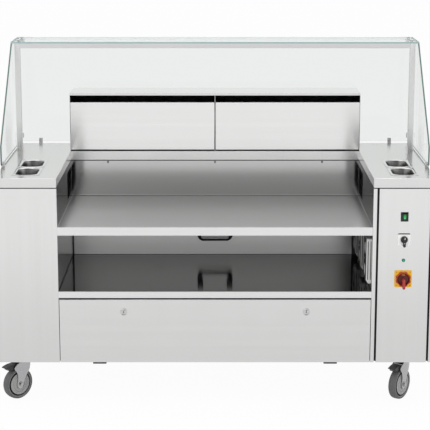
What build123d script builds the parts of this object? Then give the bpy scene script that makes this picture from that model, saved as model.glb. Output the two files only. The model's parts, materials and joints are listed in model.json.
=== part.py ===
from build123d import *
import math
import os

os.makedirs("parts", exist_ok=True)

# A mobile front-cooking station in stainless steel: two columns, a sunken bay for
# table appliances between them, an extraction hood on the rear bridge, a glass guard
# and four castors. Millimetres; the origin is on the floor under the middle of the
# outer box, +X is to the cook's right, +Y away from the cook, and +Z is up.

# Overall sizes
station_width = 1690
station_depth = 830
worktop_height = 900
column_width = 240
bay_depth = 613
body_bottom = 169

# Sheet metal and its folds
sheet = 1.5
worktop_skirt = 37
shadow_gap = 3
fold_clear = 0.5
fold_return = 18
head_inset = 10
edge_round = 1.2

# Clearances
rest_gap = 0.3
side_gap = 2
shaft_clear = 0.05
bolt_clear = 0.1

# Shelves and the walls of the bay
upper_shelf_height = 708
upper_lip = 32
lower_shelf_height = 454
lower_lip = 26
lip_setback = 2
wall_lap = 5
flange_width = 42
wall_screw_spacing = 450
wall_screw_drop = 6
screw_diameter = 5
screw_head = 9
screw_head_height = 2.5
screw_length = 8
cable_opening_length = 187
cable_opening_height = 110
cable_opening_drop = 62
cable_opening_corner = 10

# Base pan and its exhaust slots
pan_rise = 1.5
pan_edge = 25
pan_clear = 2.5
exhaust_slots = 6
exhaust_slot_width = 8
exhaust_slot_pitch = 15
exhaust_slot_margin = 10

# Front panel, its locks and the tabs under it
front_panel_gap = 6
lock_spacing = 354
lock_drop = 49
lock_flange = 28.6
lock_flange_height = 3
lock_barrel = 18
lock_slot_length = 12
lock_slot_width = 2.5
lock_slot_depth = 1.5
cam_width = 14
cam_reach = 72
cam_thickness = 3
tab_spacing = 450
tab_width = 52
tab_thickness = 6
tab_length = 45
tab_setback = 1

# Duct panel and its bow handle
duct_panel_fold = 12
duct_left_gap = 5.5
handle_width = 149
handle_rod = 9
handle_stand = 45
handle_bend = 22
handle_rise = 73
handle_lift = 76

# Socket outlets on the right wall of the lower compartment
socket_units = 3
socket_start = 14
socket_pitch = 222
socket_length = 105
socket_height = 178
socket_depth = 22
socket_rise = 28
socket_recess = 46
socket_recess_depth = 16
socket_spacing = 84
socket_face_depth = 7
socket_pin_hole = 5
socket_pin_spacing = 19

# Control panel and what it carries
strip_width = 14
panel_slit = 8.5
strip_lap = 6
rocker_drop = 150
rocker_frame_width = 29.5
rocker_frame_height = 36.5
rocker_frame_thickness = 2.5
rocker_wall = 3
rocker_body_depth = 24
rocker_pin = 3
rocker_pin_depth = 5
rocker_proud = 4
rocker_back = 8
rocker_clear = 0.6
rocker_tilt = 8
fan_switch_gap = 46.75
fan_plate = 48
fan_plate_thickness = 3
fan_body = 34
fan_body_depth = 45
fan_shaft = 6
fan_shaft_depth = 20
fan_knob = 28
fan_knob_height = 9
fan_lobe_width = 10
fan_lobe_reach = 25
fan_lobe_tail = 13
fan_lobe_height = 8
lamp_gap = 51.2
lamp_bezel = 13.6
lamp_bezel_height = 2
lamp_body = 9
lamp_body_depth = 22
lamp_dome = 11
main_switch_gap = 32.7
main_plate = 67
main_plate_thickness = 3
main_body = 44
main_body_depth = 52
main_shaft = 8
main_shaft_depth = 24
main_collar = 60
main_collar_height = 13
main_scallops = 8
main_scallop = 8
main_grip_width = 16
main_grip_reach = 34
main_grip_tail = 14
main_grip_height = 22
plate_corner = 5

# Hood on the rear bridge
hood_overlap = 2
hood_height = 244
hood_lip = 9
hood_slot = 29
hood_rear_gap = 17
cover_gap = 8
cover_seam = 2.5
cover_round = 1.4
cover_foot_length = 40
cover_foot_inset = 20
filter_thickness = 25
filter_inset = 0.5
filter_drop = 6
filter_frame = 14
filter_baffles = 16
filter_baffle_width = 20
filter_baffle_thickness = 6
duct_opening_start = 70
duct_opening_depth = 100
duct_opening_inset = 20

# Glass guard
glass = 6
guard_height = 458
glass_lift = 9
guard_tube = 22
tube_wall = 1.5
post_depth = 630
post_from_side = 12
post_foot = 34
post_foot_height = 4
top_glass_front = 605
rear_glass_depth = 812
side_glass_front = 215
side_glass_shoulder = 85
glass_corner = 8
clamp_width = 14
clamp_jaw = 4
clamp_height = 23
rear_clamp_spacing = 754
rear_clamp_inner = 250
side_clamp_front = 14
side_clamp_rear = 560
corner_clamp = 13
corner_clamp_rise = 27
corner_clamp_height = 20
button = 16
button_height = 4
button_shank = 8
button_hole_clear = 0.5
button_front = 46
button_rear = 20

# Food pans
pan_width = 108
pan_length = 176
pan_rim = 11
pan_depth = 100
pan_wall = 1
pan_corner = 14
pan_taper = 3
pan_start = 53
pan_side_shift = 5
pan_pair_gap = 2
pan_hole_clear = 2

# Castors
castor_inset_x = 92
castor_inset_y = 97
castor_plate_length = 105
castor_plate_width = 85
castor_plate_thickness = 4
race = 58
race_height = 7
kingpin = 12
kingpin_head = 22
kingpin_head_height = 5
trail = 39
wheel = 125
wheel_width = 32
tyre_depth = 12
tyre_round = 7
core_web = 10
core_rim = 8
core_boss = 34
fork_thickness = 3
fork_top_thickness = 5
fork_gap = 4
axle = 10
axle_boss = 15
axle_head = 17
axle_head_height = 7
pedal_pivot_out = 21
pedal_pivot_up = 68
pedal_pin = 6
pedal_barrel = 12
pedal_boss = 8
pedal_width = 30
pedal_reach = 44
pedal_lift = 10
pedal_thickness = 6
front_left_trail_angle = 223
front_right_trail_angle = 233
rear_left_trail_angle = 228
rear_right_trail_angle = 216

# Fan, filters and electrical box out of sight
fan_from_front = 330
scroll_radius = 115
scroll_width = 110
scroll_rise = 13
inlet = 150
impeller = 180
impeller_width = 84
impeller_blades = 24
blade_length = 18
blade_thickness = 2
impeller_plate = 3
impeller_hub = 34
motor = 110
motor_length = 90
motor_shaft = 12
shaft_hole_clear = 4
carbon_thickness = 50
carbon_from_rear = 20
carbon_top_gap = 12
carbon_bars = 24
carbon_bar_width = 6
carbon_frame = 20
box_depth = 80
box_length = 180
box_height = 220
box_from_front = 150
box_bottom = 300
box_wall = 2
gland_from_rear = 200
gland_hex = 32
gland_hex_height = 8
gland_nut = 28
gland_nut_height = 16
gland_bore = 16
gland_thread = 25

# Places worked out from the sizes above
handle_reach = main_plate_thickness + rest_gap + main_collar_height + main_grip_height
front = (handle_reach - station_depth) / 2
rear = front + station_depth
bay_rear = front + bay_depth
half_width = station_width / 2
bay_half = half_width - column_width
worktop_under = worktop_height - sheet
skirt_bottom = worktop_height - worktop_skirt
panel_top = skirt_bottom - shadow_gap
head_outer = sheet + fold_clear
head_inner = head_outer + sheet
pan_under = body_bottom + pan_rise
pan_top = pan_under + sheet
pan_front = front + fold_return + sheet + pan_clear


def span(start, length):
    """The two limits of a stretch that starts at start."""
    return (start, start + length)


def facing(depth_y):
    """A sketch plane square to the cook's view, at the given y; extrusions come forward."""
    return Plane.XZ.offset(-depth_y)


def slab(x, y, z, mode=Mode.ADD):
    """Add or cut one flat-sided block between the given limits in the open part."""
    limits = (x, y, z)
    with Locations(tuple((low + high) / 2 for low, high in limits)):
        Box(*(abs(high - low) for low, high in limits), mode=mode)


def head_along_y(face_x, inward, y):
    """Jog and upstand at the top of a wall that faces sideways; the worktop sits on it."""
    outer_x = face_x + inward * head_outer
    inner_x = face_x + inward * head_inner
    slab((face_x, inner_x), y, (panel_top - sheet, panel_top))
    slab((outer_x, inner_x), y, (panel_top - sheet, worktop_under))


def head_along_x(face_y, inward, x):
    """Jog and upstand at the top of a wall that faces the front or the back."""
    outer_y = face_y + inward * head_outer
    inner_y = face_y + inward * head_inner
    slab(x, (face_y, inner_y), (panel_top - sheet, panel_top))
    slab(x, (outer_y, inner_y), (panel_top - sheet, worktop_under))


def save(piece, name):
    """Label one finished piece, or group of like pieces, and write it."""
    piece.label = name
    export_step(piece, f"parts/{name}.step")


# Food pans: rims on the worktop, bodies through one long opening in each column
pan_centre_x = bay_half + column_width / 2 + pan_side_shift
pan_first_y = front + pan_start + pan_length / 2
pan_second_y = pan_first_y + pan_length + pan_pair_gap
pan_body_width = pan_width - 2 * pan_rim
pan_body_length = pan_length - 2 * pan_rim
pan_rim_bottom = worktop_height + rest_gap
pan_rim_top = pan_rim_bottom + pan_wall


def food_pan(centre_x, centre_y):
    """One deep-drawn pan with a flat rim and tapering walls."""
    with BuildPart() as pan:
        with BuildSketch(Plane.XY.offset(pan_rim_bottom)):
            with Locations((centre_x, centre_y)):
                RectangleRounded(pan_width, pan_length, pan_corner)
        extrude(amount=pan_wall)
        down = Plane(origin=(centre_x, centre_y, pan_rim_top), x_dir=(1, 0, 0), z_dir=(0, 0, -1))
        with BuildSketch(down):
            RectangleRounded(pan_body_width, pan_body_length, pan_corner)
        extrude(amount=pan_depth, taper=pan_taper)
        with BuildSketch(down):
            RectangleRounded(
                pan_body_width - 2 * pan_wall, pan_body_length - 2 * pan_wall, pan_corner - pan_wall
            )
        extrude(amount=pan_depth - pan_wall, taper=pan_taper, mode=Mode.SUBTRACT)
    return pan.part


save(food_pan(-pan_centre_x, pan_first_y), "pan_left_front")
save(food_pan(-pan_centre_x, pan_second_y), "pan_left_rear")
save(food_pan(pan_centre_x, pan_first_y), "pan_right_front")
save(food_pan(pan_centre_x, pan_second_y), "pan_right_rear")

# Worktop: a folded cap over both columns and the rear bridge
pan_hole_x = span(pan_centre_x - pan_body_width / 2 - pan_hole_clear, pan_body_width + 2 * pan_hole_clear)
pan_hole_y = (
    pan_first_y - pan_body_length / 2 - pan_hole_clear,
    pan_second_y + pan_body_length / 2 + pan_hole_clear,
)
hood_rear = front + rear_glass_depth - hood_rear_gap
duct_opening_y = span(bay_rear + duct_opening_start, duct_opening_depth)
duct_opening_x = (duct_opening_inset, bay_half - duct_opening_inset)

with BuildPart() as worktop:
    slab((-half_width, half_width), (front, rear), (skirt_bottom, worktop_height))
    slab((-bay_half, bay_half), (front, bay_rear), (skirt_bottom, worktop_height), Mode.SUBTRACT)
    top_edges = worktop.faces().sort_by(Axis.Z)[-1].edges()
    fillet(top_edges, radius=edge_round)
    hollow_z = (skirt_bottom, worktop_under)
    for side in (-1, 1):
        column_x = (side * (bay_half + sheet), side * (half_width - sheet))
        slab(column_x, (front + sheet, rear - sheet), hollow_z, Mode.SUBTRACT)
        pan_x = (side * pan_hole_x[0], side * pan_hole_x[1])
        slab(pan_x, pan_hole_y, (worktop_under, worktop_height), Mode.SUBTRACT)
        duct_x = (side * duct_opening_x[0], side * duct_opening_x[1])
        slab(duct_x, duct_opening_y, (worktop_under, worktop_height), Mode.SUBTRACT)
    bridge_x = (-bay_half - sheet, bay_half + sheet)
    slab(bridge_x, (bay_rear + sheet, rear - sheet), hollow_z, Mode.SUBTRACT)
save(worktop.part, "worktop")

# Left column: outer side and front bent from one sheet, then the wall towards the bay
panel_z = (body_bottom, panel_top)
wall_z = (pan_top, panel_top)
cable_opening_y = bay_rear - cable_opening_length / 2
cable_opening_z = worktop_height - cable_opening_drop - cable_opening_height / 2


def inner_wall(side):
    """The bay's side wall in the open part: sheet, rear flange and upstand."""
    face_x = side * bay_half
    back_x = side * (bay_half + sheet)
    flange_y = span(bay_rear + sheet, sheet)
    slab((face_x, back_x), (front + fold_return, flange_y[1]), wall_z)
    slab((back_x, side * (bay_half - flange_width)), flange_y, (pan_top, panel_top - 2 * sheet))
    head_along_y(face_x, side, (front + fold_return + head_inset, bay_rear - head_inset))


def cable_opening(side):
    """Cuts the opening for leads, which runs up to the rear wall, in the open part."""
    with BuildSketch(Plane.YZ.offset(side * bay_half)) as opening:
        with Locations((cable_opening_y, cable_opening_z)):
            Rectangle(cable_opening_length, cable_opening_height)
        fillet(opening.vertices().group_by(Axis.X)[0], cable_opening_corner)
    extrude(opening.sketch, amount=2 * sheet, both=True, mode=Mode.SUBTRACT)


with BuildPart() as left_cabinet:
    slab((-half_width, -half_width + sheet), (front, rear), panel_z)
    slab((-half_width, -bay_half), (front, front + sheet), panel_z)
    slab((-bay_half - sheet, -bay_half), span(front, fold_return), panel_z)
    head_along_y(-half_width, 1, (front + head_inset, rear - head_inset))
    head_along_x(front, 1, (-half_width + head_inset, -bay_half - head_inset))
save(left_cabinet.part, "left_cabinet")

with BuildPart() as left_inner_side:
    inner_wall(-1)
    cable_opening(-1)
save(left_inner_side.part, "left_inner_side")

# Right column: the two sides end in narrow front strips, with the control panel between
strip_return_y = span(front, fold_return)
strip_face_y = span(front, sheet)

with BuildPart() as right_inner_side:
    inner_wall(1)
    strip_end = bay_half + strip_width
    slab((bay_half, bay_half + sheet), strip_return_y, panel_z)
    slab((bay_half, strip_end), strip_face_y, panel_z)
    slab((strip_end - sheet, strip_end), strip_return_y, panel_z)
    cable_opening(1)
save(right_inner_side.part, "right_inner_side")

with BuildPart() as right_outer_side:
    strip_start = half_width - strip_width
    slab((half_width - sheet, half_width), (front, rear), panel_z)
    slab((strip_start, half_width), strip_face_y, panel_z)
    slab((strip_start, strip_start + sheet), strip_return_y, panel_z)
    head_along_y(half_width, -1, (front + head_inset, rear - head_inset))
save(right_outer_side.part, "right_outer_side")

panel_left = bay_half + strip_width + panel_slit
panel_right = half_width - strip_width - panel_slit
control_x = (panel_left + panel_right) / 2
rocker_height = worktop_height - rocker_drop
fan_switch_height = rocker_height - rocker_frame_height / 2 - fan_switch_gap - fan_plate / 2
lamp_height = fan_switch_height - fan_plate / 2 - lamp_gap - lamp_bezel / 2
main_switch_height = lamp_height - lamp_bezel / 2 - main_switch_gap - main_plate / 2
rocker_window_width = rocker_frame_width - 2 * rocker_wall
rocker_window_height = rocker_frame_height - 2 * rocker_wall

with BuildPart() as control_panel:
    slab((panel_left, panel_right), strip_face_y, panel_z)
    for edge_x, inward in ((panel_left, 1), (panel_right, -1)):
        slab((edge_x, edge_x + inward * sheet), strip_return_y, panel_z)
        lap_x = (edge_x - inward * (panel_slit + strip_lap), edge_x + inward * sheet)
        slab(lap_x, span(front + fold_return, sheet), panel_z)
    with BuildSketch(facing(front)):
        with Locations((control_x, rocker_height)):
            Rectangle(rocker_frame_width - rocker_wall, rocker_frame_height - rocker_wall)
        with Locations((control_x, fan_switch_height)):
            Circle(fan_body / 2 + bolt_clear)
        with Locations((control_x, lamp_height)):
            Circle(lamp_body / 2 + bolt_clear)
        with Locations((control_x, main_switch_height)):
            Circle(main_body / 2 + bolt_clear)
    extrude(amount=-sheet, mode=Mode.SUBTRACT)
save(control_panel.part, "control_panel")

# Rear panel on the customer's side
with BuildPart() as rear_panel:
    slab((-half_width + sheet, half_width - sheet), (rear - sheet, rear), panel_z)
    head_along_x(rear, -1, (-half_width + head_inset, half_width - head_inset))
save(rear_panel.part, "rear_panel")

# Shelves: folded plates between the bay's side walls
lip_y = span(front + lip_setback, sheet)
wall_bottom = upper_shelf_height - sheet - wall_lap

with BuildPart() as upper_shelf:
    shelf_y = (front + lip_setback, bay_rear)
    slab((-bay_half, bay_half), shelf_y, (upper_shelf_height - sheet, upper_shelf_height))
    slab((-bay_half, bay_half), lip_y, (upper_shelf_height - upper_lip, upper_shelf_height))
    front_top = upper_shelf.edges().filter_by(Axis.X).group_by(Axis.Y)[0].sort_by(Axis.Z)[-1]
    fillet(front_top, radius=edge_round)
save(upper_shelf.part, "upper_shelf")

lower_lip_bottom = lower_shelf_height - lower_lip

with BuildPart() as lower_shelf:
    shelf_y = (front + lip_setback, bay_rear + sheet)
    slab((-bay_half, bay_half), shelf_y, (lower_shelf_height - sheet, lower_shelf_height))
    slab((-bay_half, bay_half), lip_y, (lower_lip_bottom, lower_shelf_height))
    lip_return_y = (front + lip_setback, front + fold_return)
    slab((-bay_half, bay_half), lip_return_y, span(lower_lip_bottom, sheet))
    front_top = lower_shelf.edges().filter_by(Axis.X).group_by(Axis.Y)[0].sort_by(Axis.Z)[-1]
    fillet(front_top, radius=edge_round)
save(lower_shelf.part, "lower_shelf")

# Bay rear wall and the three screws that hold it
wall_screw_z = panel_top - wall_screw_drop
wall_screw_places = [(x, wall_screw_z) for x in (-wall_screw_spacing, 0, wall_screw_spacing)]

with BuildPart() as bay_rear_wall:
    slab((-bay_half, bay_half), span(bay_rear, sheet), (wall_bottom, panel_top))
    head_along_x(bay_rear, 1, (-bay_half + head_inset, bay_half - head_inset))
    with BuildSketch(facing(bay_rear)):
        with Locations(*wall_screw_places):
            Circle(screw_diameter / 2 + bolt_clear)
    extrude(amount=-sheet, mode=Mode.SUBTRACT)
save(bay_rear_wall.part, "bay_rear_wall")

with BuildPart() as wall_screws:
    with BuildSketch(facing(bay_rear)):
        with Locations(*wall_screw_places):
            Circle(screw_head / 2)
    extrude(amount=screw_head_height)
    head_edges = wall_screws.faces().group_by(Axis.Y)[0].edges()
    fillet(head_edges, radius=screw_head_height / 2)
    with BuildSketch(facing(bay_rear)):
        with Locations(*wall_screw_places):
            Circle(screw_diameter / 2)
    extrude(amount=-screw_length)
save(wall_screws.part, "wall_screws")

# Base pan: stands on the castors and carries the walls
fan_y = front + fan_from_front
outlet_y = span(fan_y, scroll_radius)
gland_x = control_x
gland_y = rear - gland_from_rear
pan_side = half_width - sheet
exhaust_length = scroll_radius - 2 * exhaust_slot_margin

with BuildPart() as base_pan:
    slab((-pan_side, pan_side), (pan_front, rear - sheet), (pan_under, pan_top))
    for side in (-1, 1):
        edge_x = (side * (pan_side - sheet), side * pan_side)
        slab(edge_x, (pan_front, rear - sheet), span(pan_top, pan_edge))
    slab((-pan_side, pan_side), (rear - 2 * sheet, rear - sheet), span(pan_top, pan_edge))
    with BuildSketch(Plane.XY.offset(pan_under)):
        with Locations((0, sum(outlet_y) / 2)):
            with GridLocations(exhaust_slot_pitch, 0, exhaust_slots, 1):
                SlotOverall(exhaust_length, exhaust_slot_width, rotation=90)
        with Locations((gland_x, gland_y)):
            Circle(gland_thread / 2 + bolt_clear)
    extrude(amount=sheet, mode=Mode.SUBTRACT)
save(base_pan.part, "base_pan")

# Cable gland under the base pan, for a lead that isn't fitted here
with BuildPart() as cable_gland:
    with BuildSketch(Plane.XY.offset(pan_under)):
        with Locations((gland_x, gland_y)):
            RegularPolygon(gland_hex / 2, 6)
    extrude(amount=-gland_hex_height)
    with BuildSketch(Plane.XY.offset(pan_under - gland_hex_height)):
        with Locations((gland_x, gland_y)):
            Circle(gland_nut / 2)
    extrude(amount=-gland_nut_height)
    nut_edge = cable_gland.faces().sort_by(Axis.Z)[0].edges()
    fillet(nut_edge, radius=gland_nut / 8)
    with BuildSketch(Plane.XY.offset(pan_under)):
        with Locations((gland_x, gland_y)):
            Circle(gland_thread / 2)
    extrude(amount=sheet + gland_hex_height)
    with BuildSketch(Plane.XY.offset(pan_top + gland_hex_height)):
        with Locations((gland_x, gland_y)):
            Circle(gland_bore / 2)
    bore_length = sheet + 2 * gland_hex_height + gland_nut_height
    extrude(amount=-bore_length, mode=Mode.SUBTRACT)
save(cable_gland.part, "cable_gland")

# Front panel: a folded tray that lifts out forwards, with two quarter-turn locks
panel_half = bay_half - side_gap
front_panel_top = lower_lip_bottom - front_panel_gap
lock_z = front_panel_top - lock_drop
front_panel_z = (body_bottom, front_panel_top)

with BuildPart() as front_panel:
    slab((-panel_half, panel_half), span(front, fold_return), front_panel_z)
    face_edges = front_panel.faces().sort_by(Axis.Y)[0].edges()
    fillet(face_edges, radius=edge_round)
    hollow_x = (-panel_half + sheet, panel_half - sheet)
    hollow_z = (body_bottom + sheet, front_panel_top - sheet)
    slab(hollow_x, (front + sheet, front + fold_return), hollow_z, Mode.SUBTRACT)
    with BuildSketch(facing(front)):
        with Locations((-lock_spacing, lock_z), (lock_spacing, lock_z)):
            Circle(lock_barrel / 2 + shaft_clear)
    extrude(amount=-sheet, mode=Mode.SUBTRACT)
save(front_panel.part, "front_panel")

cam_front = front + fold_return + rest_gap


def quarter_turn_lock(side):
    """Flange, barrel and cam of one lock, turned so that the cam lies level: unlocked."""
    centre = (side * lock_spacing, lock_z)
    with BuildPart() as lock:
        with BuildSketch(facing(front - rest_gap)):
            with Locations(centre):
                Circle(lock_flange / 2)
        extrude(amount=lock_flange_height)
        rim = lock.faces().sort_by(Axis.Y)[0].edges()
        fillet(rim, radius=lock_flange_height / 3)
        with BuildSketch(facing(front - rest_gap)):
            with Locations(centre):
                Circle(lock_barrel / 2)
        extrude(amount=-(cam_front - front + rest_gap))
        with BuildSketch(facing(cam_front)):
            with Locations(centre):
                Circle(cam_width / 2)
            with Locations((centre[0] - side * cam_reach / 2, lock_z)):
                Rectangle(cam_reach, cam_width)
        extrude(amount=-cam_thickness)
        with BuildSketch(facing(front - rest_gap - lock_flange_height)):
            with Locations(centre):
                SlotOverall(lock_slot_length, lock_slot_width)
        extrude(amount=-lock_slot_depth, mode=Mode.SUBTRACT)
    return lock.part


save(quarter_turn_lock(-1), "left_lock")
save(quarter_turn_lock(1), "right_lock")

# Black tabs on the base pan, under the lower edge of the front panel
tab_top = body_bottom - rest_gap
tab_y = span(front + tab_setback, tab_length)

with BuildPart() as panel_tabs:
    for side in (-1, 1):
        tab_x = span(side * tab_spacing - tab_width / 2, tab_width)
        slab(tab_x, tab_y, (tab_top - tab_thickness, tab_top))
        slab(tab_x, (pan_front, tab_y[1]), (tab_top - tab_thickness, pan_under))
save(panel_tabs.part, "panel_tabs")

# Duct panel at the back of the lower compartment, with its bow handle, whose legs rise to it
duct_panel_x = (-bay_half + duct_left_gap, bay_half - socket_depth - side_gap)
duct_face = bay_rear - rest_gap
duct_z = (lower_shelf_height + rest_gap, wall_bottom - side_gap)
duct_fold_x = (-bay_half + flange_width + side_gap, bay_half - flange_width - side_gap)

with BuildPart() as duct_panel:
    slab(duct_panel_x, span(duct_face, sheet), duct_z)
    slab(duct_fold_x, span(duct_face, duct_panel_fold), (duct_z[1] - sheet, duct_z[1]))
    duct_low_fold_z = span(duct_z[0] + sheet, sheet)
    slab(duct_fold_x, span(duct_face, duct_panel_fold), duct_low_fold_z)
save(duct_panel.part, "duct_panel")

handle_z = lower_shelf_height + handle_rise
handle_half = (handle_width - handle_rod) / 2
handle_bar_y = duct_face - handle_stand + handle_rod / 2
handle_slope = handle_lift / (duct_face - handle_bar_y)
handle_foot_y = duct_face + handle_rod
handle_foot_z = handle_z + handle_slope * (handle_foot_y - handle_bar_y)

with BuildPart() as duct_handle:
    with BuildLine() as handle_path:
        FilletPolyline(
            (-handle_half, handle_foot_y, handle_foot_z),
            (-handle_half, handle_bar_y, handle_z),
            (handle_half, handle_bar_y, handle_z),
            (handle_half, handle_foot_y, handle_foot_z),
            radius=handle_bend,
        )
    with BuildSketch(Plane(origin=handle_path.line @ 0, z_dir=handle_path.line % 0)):
        Circle(handle_rod / 2)
    sweep(path=handle_path.line)
    split(bisect_by=Plane.XZ.offset(-duct_face), keep=Keep.TOP)
save(duct_handle.part, "duct_handle")

# Socket outlets: housings on the right wall, two round sockets in each
socket_front_x = bay_half - socket_depth
socket_face_x = socket_front_x + socket_recess_depth - socket_face_depth
socket_middle_z = lower_shelf_height + socket_rise + socket_height / 2
unit_middles = [
    front + socket_start + socket_length / 2 + unit * socket_pitch for unit in range(socket_units)
]
socket_places = [
    (middle, socket_middle_z + offset)
    for middle in unit_middles
    for offset in (-socket_spacing / 2, socket_spacing / 2)
]

with BuildPart() as socket_housings:
    with BuildSketch(Plane.YZ.offset(socket_front_x)):
        with Locations(*((middle, socket_middle_z) for middle in unit_middles)):
            RectangleRounded(socket_length, socket_height, plate_corner)
    extrude(amount=socket_depth)
    housing_edges = socket_housings.faces().group_by(Axis.X)[0].edges()
    fillet(housing_edges, radius=edge_round)
    with BuildSketch(Plane.YZ.offset(socket_front_x)):
        with Locations(*socket_places):
            Circle(socket_recess / 2)
    extrude(amount=socket_recess_depth, mode=Mode.SUBTRACT)
save(socket_housings.part, "socket_housings")

with BuildPart() as socket_faces:
    with BuildSketch(Plane.YZ.offset(socket_face_x)):
        with Locations(*socket_places):
            Circle(socket_recess / 2 - bolt_clear)
    extrude(amount=socket_face_depth)
    with BuildSketch(Plane.YZ.offset(socket_face_x)):
        with Locations(*socket_places):
            with GridLocations(0, socket_pin_spacing, 1, 2):
                Circle(socket_pin_hole / 2)
    extrude(amount=socket_face_depth, mode=Mode.SUBTRACT)
save(socket_faces.part, "socket_faces")

# Rocker switch: a black frame with a hollow body, and the lit rocker on its pin
rocker_pin_y = front + rocker_pin_depth

with BuildPart() as rocker_frame:
    with BuildSketch(facing(front)):
        with Locations((control_x, rocker_height)):
            RectangleRounded(rocker_frame_width, rocker_frame_height, rocker_wall / 2)
    extrude(amount=rocker_frame_thickness)
    frame_edges = rocker_frame.faces().sort_by(Axis.Y)[0].edges()
    fillet(frame_edges, radius=rocker_frame_thickness / 3)
    with BuildSketch(facing(front)):
        with Locations((control_x, rocker_height)):
            Rectangle(
                rocker_frame_width - rocker_wall - 2 * bolt_clear,
                rocker_frame_height - rocker_wall - 2 * bolt_clear,
            )
    extrude(amount=-rocker_body_depth)
    with BuildSketch(facing(front - rocker_frame_thickness)):
        with Locations((control_x, rocker_height)):
            Rectangle(rocker_window_width, rocker_window_height)
    window_depth = rocker_frame_thickness + rocker_body_depth - rocker_wall
    extrude(amount=-window_depth, mode=Mode.SUBTRACT)
    with BuildSketch(Plane.YZ.offset(control_x)):
        with Locations((rocker_pin_y, rocker_height)):
            Circle(rocker_pin / 2 + shaft_clear)
    extrude(amount=rocker_frame_width / 2, both=True, mode=Mode.SUBTRACT)
save(rocker_frame.part, "rocker_frame")

tilt = math.radians(rocker_tilt)
rocker_nose = -(rocker_pin_depth + rocker_proud)
rocker_heel = rocker_back - rocker_pin_depth
rocker_swing = -rocker_nose * math.sin(tilt)
rocker_half = (rocker_window_height / 2 - rocker_clear - rocker_swing) / math.cos(tilt)
rocker_plane = Plane(
    origin=(control_x, rocker_pin_y, rocker_height),
    x_dir=(0, math.cos(tilt), math.sin(tilt)),
    z_dir=(1, 0, 0),
)

with BuildPart() as rocker:
    with BuildSketch(rocker_plane):
        with BuildLine():
            Polyline(
                (rocker_nose, -rocker_half),
                (rocker_nose + rocker_clear, 0),
                (rocker_nose, rocker_half),
                (rocker_heel, rocker_half - rocker_pin),
                (rocker_heel, -rocker_half + rocker_pin),
                close=True,
            )
        make_face()
    extrude(amount=rocker_window_width / 2 - rocker_clear / 2, both=True)
    with BuildSketch(rocker_plane):
        Circle(rocker_pin / 2)
    extrude(amount=rocker_frame_width / 2 - rocker_wall / 2 - bolt_clear, both=True)
save(rocker.part, "rocker")

# Fan switch: a square plate with its body behind the panel, and a pointer knob
fan_centre = (control_x, fan_switch_height)
fan_face = front - fan_plate_thickness

with BuildPart() as fan_switch:
    with BuildSketch(facing(front)):
        with Locations(fan_centre):
            RectangleRounded(fan_plate, fan_plate, plate_corner)
    extrude(amount=fan_plate_thickness)
    plate_edges = fan_switch.faces().sort_by(Axis.Y)[0].edges()
    fillet(plate_edges, radius=fan_plate_thickness / 3)
    with BuildSketch(facing(front)):
        with Locations(fan_centre):
            Circle(fan_body / 2)
    extrude(amount=-fan_body_depth)
    with BuildSketch(facing(fan_face)):
        with Locations(fan_centre):
            Circle(fan_shaft / 2 + shaft_clear)
    extrude(amount=-fan_shaft_depth, mode=Mode.SUBTRACT)
save(fan_switch.part, "fan_switch")

fan_knob_back = fan_face - rest_gap
fan_lobe_middle_z = fan_switch_height - (fan_lobe_reach - fan_lobe_tail) / 2

with BuildPart() as fan_switch_knob:
    with BuildSketch(facing(fan_knob_back)):
        with Locations(fan_centre):
            Circle(fan_knob / 2)
    extrude(amount=fan_knob_height)
    with BuildSketch(facing(fan_knob_back)):
        with Locations((control_x, fan_lobe_middle_z)):
            SlotOverall(fan_lobe_reach + fan_lobe_tail, fan_lobe_width, rotation=90)
    extrude(amount=fan_knob_height + fan_lobe_height)
    knob_edges = fan_switch_knob.faces().group_by(Axis.Y)[0].edges()
    fillet(knob_edges, radius=edge_round)
    with BuildSketch(facing(fan_knob_back)):
        with Locations(fan_centre):
            Circle(fan_shaft / 2)
    extrude(amount=-(fan_shaft_depth - fan_plate_thickness))
save(fan_switch_knob.part, "fan_switch_knob")

# Signal lamp: bezel, domed lens and body in one
lamp_centre = (control_x, lamp_height)

with BuildPart() as signal_lamp:
    with BuildSketch(facing(front)):
        with Locations(lamp_centre):
            Circle(lamp_bezel / 2)
    extrude(amount=lamp_bezel_height)
    with BuildSketch(facing(front - lamp_bezel_height)):
        with Locations(lamp_centre):
            Circle(lamp_dome / 2)
    extrude(amount=lamp_dome / 3)
    dome_edge = signal_lamp.faces().sort_by(Axis.Y)[0].edges()
    fillet(dome_edge, radius=lamp_dome / 4)
    with BuildSketch(facing(front)):
        with Locations(lamp_centre):
            Circle(lamp_body / 2)
    extrude(amount=-lamp_body_depth)
save(signal_lamp.part, "signal_lamp")

# Main switch: a yellow plate with its body, and a red collar with a turning grip
main_centre = (control_x, main_switch_height)
main_face = front - main_plate_thickness

with BuildPart() as main_switch:
    with BuildSketch(facing(front)):
        with Locations(main_centre):
            RectangleRounded(main_plate, main_plate, plate_corner)
    extrude(amount=main_plate_thickness)
    plate_edges = main_switch.faces().sort_by(Axis.Y)[0].edges()
    fillet(plate_edges, radius=main_plate_thickness / 3)
    with BuildSketch(facing(front)):
        with Locations(main_centre):
            Circle(main_body / 2)
    extrude(amount=-main_body_depth)
    with BuildSketch(facing(main_face)):
        with Locations(main_centre):
            Circle(main_shaft / 2 + shaft_clear)
    extrude(amount=-main_shaft_depth, mode=Mode.SUBTRACT)
save(main_switch.part, "main_switch")

main_knob_back = main_face - rest_gap
grip_length = main_grip_reach + main_grip_tail
grip_middle_z = main_switch_height - (main_grip_reach - main_grip_tail) / 2

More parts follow.
